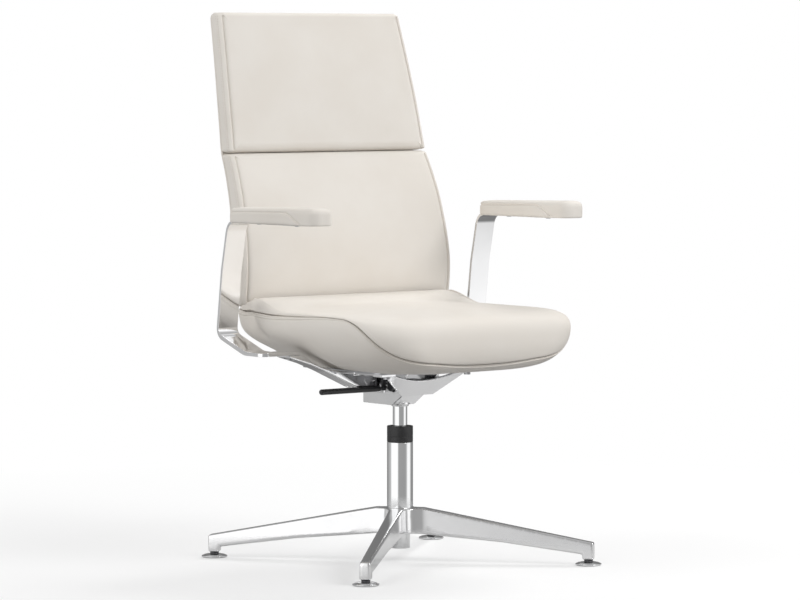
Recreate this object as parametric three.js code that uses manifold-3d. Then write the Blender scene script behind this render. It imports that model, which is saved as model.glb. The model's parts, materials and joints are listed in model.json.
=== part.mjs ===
// Swivel armchair for an office or meeting table: four-leg base, gas column,
// tilting seat carrier, leather seat and back, and flat-bar arms.
// Millimetres. +Z is up, the sitter faces -Y, and +X is the sitter's left.
import * as THREE from 'three';
import { mergeVertices } from 'three/addons/utils/BufferGeometryUtils.js';
import Module from 'manifold-3d';

const wasm = await Module();
wasm.setup();

// ---------- driving dimensions ----------
const GAP = 0.3;                      // air left between touching pieces
const COLUMN_SETBACK = 14.5;          // the column stands this far in front of the origin

const LEG_REACH = 376.5;              // column axis to a leg's end face
const FOOT_REACH = 365.7;             // column axis to a foot's centre
const LEG_BEARING = -47.9;            // degrees from +X to the first leg
const LEG_COUNT = 4;
const HUB_TOP = 104.6;
const HUB_BOTTOM = 54.6;
const LEG_TIP_TOP = 43.8;
const LEG_TIP_BOTTOM = 21;
const BOSS_BOTTOM = 11;
const FOOT_RADIUS = 25;
const FOOT_HEIGHT = 6.5;
const STEM_RADIUS = 5;
const STEM_TOP = 33;

const TUBE_RADIUS = 25;
const TUBE_TOP = 231;
const COLLAR_TOP = 262;
const CYLINDER_RADIUS = 14;
const CYLINDER_BOTTOM = 118;
const CYLINDER_TOP = 322;
const SLEEVE_RADIUS = 19.25;
const SLEEVE_BOTTOM = 26;
const ROD_RADIUS = 5;

const PIVOT_Y = -30;                  // tilt axle
const PIVOT_Z = 340;
const AXLE_RADIUS = 5;
const HOUSING_HALF_WIDTH = 28;
const HOUSING_WALL = 4;
const CHEEK_INNER = 34.3;             // inner faces of the carrier's two cheeks
const CHEEK_OUTER = 40;
const CARRIER_TOP = 372;              // flat that carries the seat plate
const WING_FRONT = -1;                // the wings that reach out to the arms, in Y
const WING_REAR = 44;
const WING_TIP = 262;

const LEVER_Y = -11;
const LEVER_PIVOT_X = -29;
const LEVER_PIVOT_Z = 353;
const LEVER_GRIP_Z = 337;
const LEVER_TIP = -199.5;

const ARM_CENTRE = 304;               // middle of an arm, either side of the centre plane
const ARM_BOLT_X = 249;               // bolts through the wing and the arm's tongue
const ARM_BOLT_SEAT = 403.4;          // floor of the counterbore that sinks each bolt's head
const BAR_WIDTH = 44.5;
const BAR_FOOT_BOTTOM = 408.3;
const BAR_FOOT_TOP = 414.5;
const PAD_WIDTH = 52;
const PAD_FRONT = -164;
const PAD_REAR = 106;
const PAD_BOTTOM = 656.6;
const PAD_TOP_REAR = 685;
const PAD_TOP_FRONT = 691;
const BAR_TOP = 663;

const SEAT_PLATE_THICKNESS = 3;
const SHELL_SKIN = 9;                 // thickness of the upholstered seat shell
const SEAT_UNDERSIDE = CARRIER_TOP + 2 * GAP + SEAT_PLATE_THICKNESS;

const BACK_BOTTOM = 489;
const BACK_TOP = 1055.5;
const BACK_SEAM = 784;                // seam between the back cushion and the head pillow
const REAR_PANEL = 11;                // upholstered panel behind the back's core
const CORE = 9;

// ---------- materials ----------
const material = (color, roughness, metalness) =>
  new THREE.MeshStandardMaterial({ color, roughness, metalness });
const polished = material(0xd2d4d6, 0.12, 1);
const chrome = material(0xd9dbdd, 0.08, 1);
const steel = material(0x8d8f92, 0.4, 0.9);
const darkSteel = material(0x3b3c3e, 0.45, 0.8);
const blackPlastic = material(0x1c1c1d, 0.45, 0);
const leather = material(0xddd7cb, 0.5, 0);
const plywood = material(0xb58f63, 0.7, 0);

// ---------- solid helpers ----------
const radians = THREE.MathUtils.degToRad;

// A closed geometry becomes a solid: only positions are kept, collapsed
// triangles are dropped, and the faces are turned outwards.
function solid(geometry) {
  const plain = geometry.clone();
  plain.deleteAttribute('normal');
  plain.deleteAttribute('uv');
  const merged = mergeVertices(plain, 1e-3);
  const points = merged.attributes.position.array;
  const corners = [];
  const index = merged.index.array;
  for (let i = 0; i < index.length; i += 3) {
    const [a, b, c] = [index[i], index[i + 1], index[i + 2]];
    if (a !== b && b !== c && c !== a) {
      corners.push(a, b, c);
    }
  }
  if (enclosedVolume(points, corners) < 0) {
    for (let i = 0; i < corners.length; i += 3) {
      [corners[i + 1], corners[i + 2]] = [corners[i + 2], corners[i + 1]];
    }
  }
  return new wasm.Manifold(new wasm.Mesh({
    numProp: 3,
    vertProperties: new Float32Array(points),
    triVerts: new Uint32Array(corners),
  }));
}

function enclosedVolume(points, corners) {
  const [a, b, c] = [new THREE.Vector3(), new THREE.Vector3(), new THREE.Vector3()];
  let sum = 0;
  for (let i = 0; i < corners.length; i += 3) {
    a.fromArray(points, 3 * corners[i]);
    b.fromArray(points, 3 * corners[i + 1]);
    c.fromArray(points, 3 * corners[i + 2]);
    sum += a.dot(b.cross(c)) / 6;
  }
  return sum;
}

const union = (...solids) => solids.reduce((whole, next) => whole.add(next));
const cut = (body, ...tools) => tools.reduce((left, tool) => left.subtract(tool), body);
const mirrored = (body) => body.mirror([1, 0, 0]);

// A box between two corners.
function box(x0, x1, y0, y1, z0, z1) {
  const geometry = new THREE.BoxGeometry(x1 - x0, y1 - y0, z1 - z0);
  geometry.translate((x0 + x1) / 2, (y0 + y1) / 2, (z0 + z1) / 2);
  return solid(geometry);
}

// A solid of revolution about the Z axis, from [radius, height] points.
function turned(profile, segments = 32, phase = 0) {
  const points = profile.map(([r, z]) => new THREE.Vector2(r, z));
  const geometry = new THREE.LatheGeometry([...points, points[0]], segments);
  geometry.rotateX(Math.PI / 2);
  geometry.rotateZ(phase);
  return solid(geometry);
}

const ring = (inner, outer, z0, z1, segments) =>
  turned([[inner, z0], [outer, z0], [outer, z1], [inner, z1]], segments);
const disc = (radius, z0, z1, segments) =>
  turned([[0, z0], [radius, z0], [radius, z1], [0, z1]], segments);

// The same disc turned to lie along X or along Y.
const alongX = (body, y, z) => body.rotate([0, 90, 0]).translate([0, y, z]);
const alongY = (body, x, z) => body.rotate([-90, 0, 0]).translate([x, 0, z]);

function outline(points) {
  return new THREE.Shape(points.map(([u, v]) => new THREE.Vector2(u, v)));
}

function extruded(shape, depth) {
  return solid(new THREE.ExtrudeGeometry(shape, { depth, bevelEnabled: false, curveSegments: 6 }));
}

// A side outline of [y, z] points, drawn out along X from x0 to x1.
function sidePrism(points, x0, x1) {
  return extruded(outline(points), x1 - x0).rotate([90, 0, 90]).translate([x0, 0, 0]);
}

// A front outline of [x, z] points, drawn out along Y from y0 to y1.
function frontPrism(points, y0, y1) {
  return extruded(outline(points), y1 - y0).rotate([90, 0, 0]).translate([0, y1, 0]);
}

// Rings of [x, y, z] points, one above the other, skinned into a closed body.
function loft(rings) {
  const count = rings[0].length;
  const positions = rings.flat(2);
  const index = [];
  for (let level = 0; level + 1 < rings.length; level += 1) {
    for (let i = 0; i < count; i += 1) {
      const a = level * count + i;
      const b = level * count + ((i + 1) % count);
      index.push(a, b, b + count, a, b + count, a + count);
    }
  }
  for (const [level, flip] of [[0, true], [rings.length - 1, false]]) {
    const middle = positions.length / 3;
    for (const axis of [0, 1, 2]) {
      positions.push(rings[level].reduce((sum, point) => sum + point[axis], 0) / count);
    }
    for (let i = 0; i < count; i += 1) {
      const a = level * count + i;
      const b = level * count + ((i + 1) % count);
      index.push(...(flip ? [b, a, middle] : [a, b, middle]));
    }
  }
  const geometry = new THREE.BufferGeometry();
  geometry.setAttribute('position', new THREE.Float32BufferAttribute(positions, 3));
  geometry.setIndex(index);
  return solid(geometry);
}

// A rounded rectangle in plan, as [x, y] points, with its own front and rear corner radii.
// The two sides get extra points at the given shares of the way from front to rear.
function roundedPlan(halfWidth, front, rear, frontRadius, rearRadius, steps = 5, shares = []) {
  const corners = [
    [halfWidth, front, frontRadius, -90, 1, 1],
    [halfWidth, rear, rearRadius, 0, 1, -1],
    [-halfWidth, rear, rearRadius, 90, -1, -1],
    [-halfWidth, front, frontRadius, 180, -1, 1],
  ];
  const [y0, y1] = [front + frontRadius, rear - rearRadius];
  const side = shares.map((share) => y0 + (y1 - y0) * share);
  return corners.flatMap(([x, y, radius, start, sideX, sideY]) => {
    const arc = Array.from({ length: steps + 1 }, (_, i) => {
      const angle = radians(start + (90 * i) / steps);
      const cx = x - sideX * radius;
      const cy = y + sideY * radius;
      return [cx + radius * Math.cos(angle), cy + radius * Math.sin(angle)];
    });
    const sideAfter = { '-90': side, 90: side.toReversed() }[start] ?? [];
    return [...arc, ...sideAfter.map((v) => [x, v])];
  });
}

// Straight-line reading of a curve given as [position, value] points.
function along(curve, at) {
  const last = curve.length - 1;
  if (at <= curve[0][0]) {
    return curve[0][1];
  }
  for (let i = 0; i < last; i += 1) {
    const [a, va] = curve[i];
    const [b, vb] = curve[i + 1];
    if (at <= b) {
      return va + ((vb - va) * (at - a)) / (b - a);
    }
  }
  return curve[last][1];
}

// ---------- scene graph ----------
const chair = new THREE.Group();

function add(name, body, finish) {
  const { vertProperties, triVerts } = body.getMesh();
  const geometry = new THREE.BufferGeometry();
  geometry.setAttribute('position', new THREE.BufferAttribute(new Float32Array(vertProperties), 3));
  geometry.setIndex(new THREE.BufferAttribute(new Uint32Array(triVerts), 1));
  geometry.computeVertexNormals();
  const mesh = new THREE.Mesh(geometry, finish);
  mesh.name = name;
  chair.add(mesh);
}

// ---------- base: four legs cast with the hub ----------
const legBearings = Array.from({ length: LEG_COUNT }, (_, i) => LEG_BEARING + 90 * i);
const legNames = ['front_left', 'rear_left', 'rear_right', 'front_right'];

// Plan of the four tapered legs, joined by concave fillets around the tube.
function starPlan(rootHalf, tipHalf, z) {
  const filletRadius = 25;
  const steps = 6;
  const points = [];
  for (const bearing of legBearings) {
    const turn = radians(bearing);
    const place = (x, y) => {
      points.push([
        x * Math.cos(turn) - y * Math.sin(turn),
        x * Math.sin(turn) + y * Math.cos(turn),
        z,
      ]);
    };
    place(LEG_REACH + 5, -tipHalf);
    place(LEG_REACH + 5, tipHalf);
    const centre = rootHalf + filletRadius;
    for (let i = 0; i <= steps; i += 1) {
      const angle = radians(-90 - (90 * i) / steps);
      place(centre + filletRadius * Math.cos(angle), centre + filletRadius * Math.sin(angle));
    }
  }
  return points;
}

function starBase() {
  const blank = loft([starPlan(17, 11, 0), starPlan(13.5, 8, HUB_TOP + 5)]);
  const facets = 24;
  const flat = 1 / Math.cos(Math.PI / facets);
  const bossInner = LEG_REACH - 22;
  const arch = (r) => {
    const t = (r - 43) / (bossInner - 43);
    return HUB_BOTTOM + (LEG_TIP_BOTTOM - HUB_BOTTOM) * t + 14 * t * (1 - t);
  };
  const envelope = turned([
    [0, HUB_BOTTOM],
    [43 * flat, HUB_BOTTOM],
    ...[120, 200, 280].map((r) => [r * flat, arch(r)]),
    [bossInner * flat, LEG_TIP_BOTTOM],
    [bossInner * flat, BOSS_BOTTOM],
    [LEG_REACH * flat, BOSS_BOTTOM],
    [LEG_REACH * flat, LEG_TIP_TOP],
    [48 * flat, HUB_TOP],
    [0, HUB_TOP],
  ], facets, radians(LEG_BEARING - 180 / facets));
  const bore = disc(TUBE_RADIUS + 2 * GAP, HUB_BOTTOM - 5, HUB_TOP + 5, 32);
  const threads = legBearings.map((bearing) =>
    disc(STEM_RADIUS + GAP, BOSS_BOTTOM - 5, STEM_TOP + 1.5, 16)
      .translate([FOOT_REACH * Math.cos(radians(bearing)), FOOT_REACH * Math.sin(radians(bearing)), 0]));
  return cut(blank.intersect(envelope), bore, ...threads);
}

add('star_base', starBase(), polished);

// ---------- levelling feet ----------
legBearings.forEach((bearing, i) => {
  const place = [FOOT_REACH * Math.cos(radians(bearing)), FOOT_REACH * Math.sin(radians(bearing)), 0];
  const foot = turned([
    [0, 0],
    [FOOT_RADIUS - 2, 0],
    [FOOT_RADIUS, 2],
    [FOOT_RADIUS, 3.5],
    [FOOT_RADIUS - 4, FOOT_HEIGHT - 0.5],
    [FOOT_RADIUS - 8, FOOT_HEIGHT],
    [0, FOOT_HEIGHT],
  ], 20);
  const neckTop = BOSS_BOTTOM - GAP;
  const stem = turned([
    [0, FOOT_HEIGHT + GAP],
    [8.5, FOOT_HEIGHT + GAP],
    [8.5, neckTop],
    [STEM_RADIUS, neckTop],
    [STEM_RADIUS, STEM_TOP],
    [0, STEM_TOP],
  ], 12);
  add(`glide_foot_${legNames[i]}`, foot.translate(place), chrome);
  add(`glide_stem_${legNames[i]}`, stem.translate(place), darkSteel);
});

// ---------- column ----------
const tubeBore = 22;
const sleeveTop = 92;
add('column_tube', turned([
  [SLEEVE_RADIUS + GAP, HUB_BOTTOM + GAP],
  [TUBE_RADIUS, HUB_BOTTOM + GAP],
  [TUBE_RADIUS, TUBE_TOP],
  [tubeBore, TUBE_TOP],
  [tubeBore, sleeveTop + GAP],
  [SLEEVE_RADIUS + GAP, sleeveTop + GAP],
], 32), chrome);

const plateBottom = 31;
const plateTop = 36;
add('column_lower_sleeve', turned([
  [ROD_RADIUS + GAP, plateBottom],
  [SLEEVE_RADIUS - 4, plateBottom],
  [SLEEVE_RADIUS - 4, SLEEVE_BOTTOM],
  [SLEEVE_RADIUS, SLEEVE_BOTTOM],
  [SLEEVE_RADIUS, sleeveTop],
  [SLEEVE_RADIUS - 3, sleeveTop],
  [SLEEVE_RADIUS - 3, plateTop],
  [ROD_RADIUS + GAP, plateTop],
], 24), chrome);

const bushBottom = 196;
add('column_collar', turned([
  [CYLINDER_RADIUS + GAP, bushBottom],
  [tubeBore - GAP, bushBottom],
  [tubeBore - GAP, TUBE_TOP + GAP],
  [TUBE_RADIUS, TUBE_TOP + GAP],
  [TUBE_RADIUS, COLLAR_TOP - 1.5],
  [TUBE_RADIUS - 1.5, COLLAR_TOP],
  [CYLINDER_RADIUS + GAP, COLLAR_TOP],
], 32), blackPlastic);

const bearingTop = plateTop + 5;
add('thrust_bearing', ring(ROD_RADIUS + GAP, 12, plateTop + GAP, bearingTop, 20), steel);

// The piston rod stands on the bearing and turns with the seat.
const pistonBottom = 216;
const rodTop = 234;
const shoulderTop = bearingTop + GAP + 4;
add('gas_rod', turned([
  [0, SLEEVE_BOTTOM + 0.6],
  [ROD_RADIUS, SLEEVE_BOTTOM + 0.6],
  [ROD_RADIUS, bearingTop + GAP],
  [8, bearingTop + GAP],
  [8, shoulderTop],
  [ROD_RADIUS, shoulderTop],
  [ROD_RADIUS, rodTop],
  [0, rodTop],
], 16), chrome);
add('rod_clip', ring(ROD_RADIUS + GAP, 10, plateBottom - 2 - GAP, plateBottom - GAP, 16), darkSteel);
add('gas_piston', ring(ROD_RADIUS + GAP, 11.6, pistonBottom, rodTop - 2, 20), steel);

// The pressure cylinder slides over the piston and carries the mechanism.
const cylinderBore = 12;
const chamberTop = 285;
const valveRadius = 3;
add('gas_cylinder', turned([
  [cylinderBore, CYLINDER_BOTTOM],
  [CYLINDER_RADIUS, CYLINDER_BOTTOM],
  [CYLINDER_RADIUS, 301],
  [CYLINDER_RADIUS - 1, CYLINDER_TOP],
  [valveRadius + GAP, CYLINDER_TOP],
  [valveRadius + GAP, chamberTop],
  [cylinderBore, chamberTop],
], 32), chrome);
add('rod_guide', ring(ROD_RADIUS + GAP, cylinderBore - GAP, CYLINDER_BOTTOM, 128, 20), blackPlastic);
const valveTop = LEVER_PIVOT_Z - 3 - GAP;
add('valve_pin', disc(valveRadius, 289, valveTop, 14), steel);

// ---------- tilt housing on top of the cylinder ----------
function tiltHousing() {
  const half = HOUSING_HALF_WIDTH;
  const inner = half - HOUSING_WALL;
  const boxRear = 80;
  const boxBottom = 303;
  const boxTop = 341;
  const lugTop = 350;
  const block = sidePrism([
    [-44, 326], [-10, boxBottom], [boxRear, boxBottom], [boxRear, boxTop],
    [-20, boxTop], [-21, lugTop], [-44, lugTop],
  ], -half, half);
  const hollow = sidePrism([
    [-40, 330], [-8, 309], [boxRear - 4, 309], [boxRear - 4, boxTop + 5],
    [-19, boxTop + 5], [-20, lugTop + 5], [-40, lugTop + 5],
  ], -inner, inner);
  const boss = disc(19, boxBottom, 330, 28);
  const nose = disc(16.5, 299.5, boxBottom + 6, 28);
  const cylinderSeat = disc(CYLINDER_RADIUS + GAP, 290, 335, 32);
  const axleHole = alongX(disc(AXLE_RADIUS + GAP, -60, 60, 16), PIVOT_Y, PIVOT_Z);
  return cut(union(cut(block, hollow), boss, nose), cylinderSeat, axleHole);
}

add('tilt_housing', tiltHousing(), polished);
add('housing_cover', union(
  box(-HOUSING_HALF_WIDTH, HOUSING_HALF_WIDTH, 22, 80, 341 + GAP, 343.5),
  box(-23.5, 23.5, 24, 75.5, 336, 342),
), blackPlastic);
add('tilt_axle', alongX(disc(AXLE_RADIUS, -45, 45, 16), PIVOT_Y, PIVOT_Z), steel);
for (const [side, x] of [['left', 45 + GAP], ['right', -47 - GAP]]) {
  add(`axle_cap_${side}`, alongX(disc(8, x, x + 2, 16), PIVOT_Y, PIVOT_Z), darkSteel);
}

// The tilt spring: coils wound round the axle between the housing's walls.
function tiltSpring() {
  const turns = 4;
  const coilRadius = 7.4;
  const halfLength = 16;
  class Helix extends THREE.Curve {
    getPoint(t, target = new THREE.Vector3()) {
      const angle = 2 * Math.PI * turns * t;
      return target.set(
        halfLength * (2 * t - 1),
        PIVOT_Y + coilRadius * Math.cos(angle),
        PIVOT_Z + coilRadius * Math.sin(angle),
      );
    }
  }
  const wire = new THREE.Shape().absarc(0, 0, 1.9, 0, 2 * Math.PI);
  const options = { steps: turns * 10, extrudePath: new Helix(), bevelEnabled: false, curveSegments: 3 };
  return solid(new THREE.ExtrudeGeometry(wire, options));
}

add('tilt_spring', tiltSpring(), steel);

// ---------- height lever ----------
const earHeight = LEVER_PIVOT_Z + 4;
const ears = union(
  box(-33, -25, LEVER_Y - 7, LEVER_Y + 7, 341 + GAP, 345),
  box(-33, -25, LEVER_Y - 7, LEVER_Y - 3.5, 344, earHeight),
  box(-33, -25, LEVER_Y + 3.5, LEVER_Y + 7, 344, earHeight),
);
const leverHinge = (radius) =>
  alongY(disc(radius, LEVER_Y - 8, LEVER_Y + 8, 12), LEVER_PIVOT_X, LEVER_PIVOT_Z);
add('lever_bracket', cut(ears, leverHinge(1.5 + GAP)), darkSteel);
add('lever_pin', leverHinge(1.5), steel);

function leverStem() {
  const rod = (radius, x0, x1, z) => alongX(disc(radius, x0, x1, 14), LEVER_Y, z);
  const crankHalf = 3;
  const [y0, y1] = [LEVER_Y - crankHalf, LEVER_Y + crankHalf];
  const crank = box(-52, -45, y0, y1, LEVER_GRIP_Z - 4, LEVER_PIVOT_Z + 4);
  const tab = box(-9, 5, y0, 4, LEVER_PIVOT_Z - 3, LEVER_PIVOT_Z + 3);
  const body = union(
    rod(3, -48, -6, LEVER_PIVOT_Z),
    crank,
    rod(2.6, -92, -50, LEVER_GRIP_Z),
    tab,
  );
  return cut(body, leverHinge(1.5 + GAP));
}

add('lever_stem', leverStem(), darkSteel);
add('lever_grip', cut(
  turned([[0, 0], [4.2, 0], [5.5, 2], [5.5, 140.5], [4.2, 142.5], [0, 142.5]], 20)
    .rotate([0, 90, 0]).translate([LEVER_TIP, LEVER_Y, LEVER_GRIP_Z]),
  alongX(disc(2.6 + GAP, -92 - GAP, -50, 14), LEVER_Y, LEVER_GRIP_Z),
), blackPlastic);

// ---------- seat carrier: cheeks, front wall, wings and spine, one casting ----------
function seatCarrier() {
  const top = CARRIER_TOP;
  const deck = top - 6;
  const underWing = [[36, 326], [88, 335], [104, 341], [178, 375], [216, 390], [WING_TIP, 404]];
  const overWing = [
    [WING_TIP, 408], [234, 408], [225, 404], [210, 393.5], [190, 384], [165, 378], [138, top], [36, top],
  ];
  const wing = frontPrism([...underWing, ...overWing], WING_FRONT, WING_REAR);
  const cheek = sidePrism([
    [-50, 327], [-20, 326], [44, 326], [98, 364], [98, top], [-76, top],
  ], CHEEK_INNER, CHEEK_OUTER);
  const spine = box(-36, 36, WING_FRONT, 150, deck, top);

  // The front wall leans forward from the cheeks, and its upper edge dips in the middle.
  const lean = Math.atan2(30, 46);
  const rise = Math.hypot(30, 46);
  const wallShape = new THREE.Shape();
  wallShape.moveTo(-39, 0);
  wallShape.lineTo(39, 0);
  wallShape.lineTo(104, rise);
  wallShape.lineTo(84, rise);
  wallShape.quadraticCurveTo(40, rise - 20, 0, rise - 20);
  wallShape.quadraticCurveTo(-40, rise - 20, -84, rise);
  wallShape.lineTo(-104, rise);
  const wall = extruded(wallShape, 5)
    .rotate([90 + THREE.MathUtils.radToDeg(lean), 0, 0])
    .translate([0, -48, 326]);
  const wallFlat = box(-120, 120, -120, 0, 300, top);

  const rail = box(84, 112, -96, WING_FRONT + 4, deck, top);
  const railEnd = box(112, 120, -96, -70, deck, top);
  const axleHole = alongX(disc(AXLE_RADIUS + 3 + GAP, -60, 60, 20), PIVOT_Y, PIVOT_Z);
  const leverSlot = alongX(disc(10, -60, -20, 20), LEVER_Y, LEVER_PIVOT_Z);
  const boltHoles = [];
  for (const side of [-1, 1]) {
    for (const y of [WING_FRONT + 13, WING_REAR - 13]) {
      boltHoles.push(disc(3 + GAP, 380, 420, 12).translate([side * ARM_BOLT_X, y, 0]));
      boltHoles.push(disc(5 + GAP, 380, ARM_BOLT_SEAT + GAP, 16).translate([side * ARM_BOLT_X, y, 0]));
    }
    for (const y of [-84, 30]) {
      boltHoles.push(disc(4 + GAP, 350, 380, 12).translate([side * 98, y, 0]));
      boltHoles.push(disc(7 + GAP, 300, deck - 0.5, 16).translate([side * 98, y, 0]));
    }
  }
  for (const y of [112, 136]) {
    boltHoles.push(disc(3.5 + GAP, 340, 380, 12).translate([0, y, 0]));
  }
  const half = union(wing, cheek, rail, railEnd);
  const body = union(half, mirrored(half), spine, wall.intersect(wallFlat));
  return cut(body, axleHole, leverSlot, ...boltHoles);
}

add('seat_carrier', seatCarrier(), polished);
for (const [side, x] of [['left', CHEEK_INNER], ['right', -CHEEK_OUTER]]) {
  const bush = ring(AXLE_RADIUS + 0.1, AXLE_RADIUS + 3, x, x + CHEEK_OUTER - CHEEK_INNER, 20);
  add(`axle_bush_${side}`, alongX(bush, PIVOT_Y, PIVOT_Z), blackPlastic);
}

// ---------- seat ----------
function seatPlate() {
  const plan = new THREE.Shape();
  const [w, front, rear, r] = [130, -105, 150, 20];
  plan.moveTo(-w + r, front);
  plan.lineTo(w - r, front);
  plan.absarc(w - r, front + r, r, -Math.PI / 2, 0);
  plan.absarc(w - r, rear - r, r, 0, Math.PI / 2);
  plan.absarc(-w + r, rear - r, r, Math.PI / 2, Math.PI);
  plan.absarc(-w + r, front + r, r, Math.PI, 1.5 * Math.PI);
  const plate = extruded(plan, SEAT_PLATE_THICKNESS).translate([0, 0, CARRIER_TOP + GAP]);
  const holes = [];
  for (const x of [-98, 98]) {
    for (const y of [-84, 30]) {
      holes.push(disc(4 + GAP, 360, 390, 12).translate([x, y, 0]));
    }
  }
  for (const y of [112, 136]) {
    holes.push(disc(3.5 + GAP, 360, 390, 12).translate([0, y, 0]));
  }
  return cut(plate, ...holes);
}

add('seat_plate', seatPlate(), steel);

// Hull of the seat, level by level: [z, half width, front, rear, rear corner radius].
const SEAT_LEVELS = [
  [SEAT_UNDERSIDE, 134, -188, 140, 48],
  [381, 166, -232, 166, 66],
  [388, 192, -251, 181, 76],
  [398, 211, -262, 194, 80],
  [412, 227, -268.5, 203, 76],
  [430, 239, -271.5, 210, 64],
  [450, 247, -272, 214, 54],
  [470, 250, -270, 216, 48],
  [481, 247.5, -261, 214, 48],
  [486, 238, -246, 200, 48],
];
const SEAT_TOP = 488.5;
const SEAT_FRONT_RADIUS = 88;
const SIDE_SHARES = [0.35, 0.6, 0.7, 0.8, 0.9];

const { clamp, smoothstep } = THREE.MathUtils;

// The seat's rim climbs towards the back, and its lower flanks are drawn up over the arms.
function hullRise(x, y, z) {
  const rim = 24 * smoothstep(y, 40, 145) * clamp((z - 450) / 35, 0, 1);
  const flank = 16 * smoothstep(y, -70, 30) * smoothstep(Math.abs(x), 130, 190);
  return rim + flank * clamp((450 - z) / 50, 0, 1);
}

// The hull, or a copy of it drawn in by an inset, whose rings keep the full hull's rise.
function seatHull(inset) {
  const floor = SEAT_UNDERSIDE + Math.max(inset, 0);
  const levels = [...SEAT_LEVELS, [SEAT_TOP, 190, -205, 160, 48]];
  const rings = levels.map(([z, halfWidth, front, rear, rearRadius], level) => {
    const height = level === 0 ? SEAT_UNDERSIDE + inset : Math.max(z, floor);
    const [full, plan] = [0, inset].map((by) => roundedPlan(
      halfWidth - by, front + by, rear - by,
      SEAT_FRONT_RADIUS - by, rearRadius - by, 5, SIDE_SHARES));
    return plan.map(([x, y], i) => [x, y, height + hullRise(...full[i], z)]);
  });
  return loft(rings);
}

// Side view of the shell's upper edge: level along the sides, sweeping down at the front.
function belowSeam(offset) {
  const seam = [
    [-280, 394], [-272, 398], [-267, 410], [-252, 421], [-234, 437], [-221, 453], [-203, 471],
    [-187, 481], [-170, 485], [-80, 483], [0, 480], [80, 479], [130, 484], [160, 487], [230, 487],
  ].map(([y, z]) => [y, z + offset]);
  return sidePrism([[230, 300], [-280, 300], ...seam].reverse(), -300, 300);
}

// The back stands behind the seat's rear edge, over the shell's rim.
const backRoom = sidePrism([
  [156, BACK_BOTTOM - 1.5], [250, BACK_BOTTOM - 1.5], [250, 560], [151, 560],
], -300, 300);

function seatShell() {
  const skin = cut(seatHull(0), seatHull(SHELL_SKIN));
  return skin.intersect(belowSeam(0));
}

function seatCushion() {
  const shellRoom = cut(seatHull(-1), seatHull(SHELL_SKIN + GAP)).intersect(belowSeam(GAP));
  return cut(seatHull(0), shellRoom, backRoom);
}

add('seat_shell', cut(seatShell(), backRoom), leather);
add('seat_cushion', seatCushion(), leather);

// ---------- arms ----------
function armBar() {
  const half = BAR_WIDTH / 2;
  const side = new THREE.Shape();
  side.moveTo(-112, BAR_TOP);
  side.lineTo(88, BAR_TOP);
  side.quadraticCurveTo(112, BAR_TOP, 118, 640);
  side.lineTo(134, 566);
  side.lineTo(148, 457);
  side.quadraticCurveTo(149, 442, 134, 434);
  side.lineTo(68, 411);
  side.quadraticCurveTo(60, BAR_FOOT_BOTTOM, 50, BAR_FOOT_BOTTOM);
  side.lineTo(WING_FRONT + 3, BAR_FOOT_BOTTOM);
  side.lineTo(WING_FRONT + 3, BAR_FOOT_TOP);
  side.lineTo(46, BAR_FOOT_TOP + 1);
  side.quadraticCurveTo(58, BAR_FOOT_TOP + 1, 66, 419.5);
  side.lineTo(130, 441.5);
  side.quadraticCurveTo(142, 446, 141.5, 457);
  side.lineTo(128.5, 565);
  side.lineTo(112.5, 640);
  side.quadraticCurveTo(108, 657.5, 88, 657.5);
  side.lineTo(-112, 657.5);
  const bar = extruded(side, BAR_WIDTH).rotate([90, 0, 90]).translate([ARM_CENTRE - half, 0, 0]);

  // The foot turns inwards as a flat tongue that lies on the carrier's wing.
  const outer = ARM_CENTRE + half;
  const tongueEnd = 236.5;
  const cornerRadius = 16;
  const [y0, y1] = [WING_FRONT + 3, WING_REAR - 1];
  const tongue = new THREE.Shape();
  tongue.moveTo(tongueEnd, y0);
  tongue.lineTo(outer - cornerRadius, y0);
  tongue.absarc(outer - cornerRadius, y0 + cornerRadius, cornerRadius, -Math.PI / 2, 0);
  tongue.lineTo(outer, y1);
  tongue.lineTo(tongueEnd, y1);
  const foot = extruded(tongue, BAR_FOOT_TOP - BAR_FOOT_BOTTOM).translate([0, 0, BAR_FOOT_BOTTOM]);
  const corner = cut(
    box(outer - cornerRadius, outer + 1, y0 - 1, y0 + cornerRadius, 400, 420),
    disc(cornerRadius, 390, 430, 40).translate([outer - cornerRadius, y0 + cornerRadius, 0]),
  );
  const bolts = [WING_FRONT + 13, WING_REAR - 13].map((y) =>
    disc(3 + GAP, 400, 420, 12).translate([ARM_BOLT_X, y, 0]));
  const screws = [-80, 40].map((y) =>
    disc(2.5 + GAP, 650, 670, 12).translate([ARM_CENTRE, y, 0]));
  return cut(union(bar, foot), corner, ...bolts, ...screws);
}

// A hex-socket bolt pointing up: shank from z0 to z1, head below it.
function bolt(radius, z0, z1, headRadius, headHeight) {
  const body = turned([
    [0, z0 - headHeight], [headRadius, z0 - headHeight], [headRadius, z0],
    [radius, z0], [radius, z1], [0, z1],
  ], 10);
  return cut(body, disc(radius * 0.6, z0 - headHeight - 1, z0 - headHeight * 0.4, 6));
}

function armPadCore() {
  const half = BAR_WIDTH / 2;
  const core = box(ARM_CENTRE - half, ARM_CENTRE + half, PAD_FRONT + 22, PAD_REAR - 14, BAR_TOP + GAP, 669);
  const holes = [-80, 40].map((y) => disc(2.5 + GAP, 650, 675, 12).translate([ARM_CENTRE, y, 0]));
  return cut(core, ...holes);
}

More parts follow.
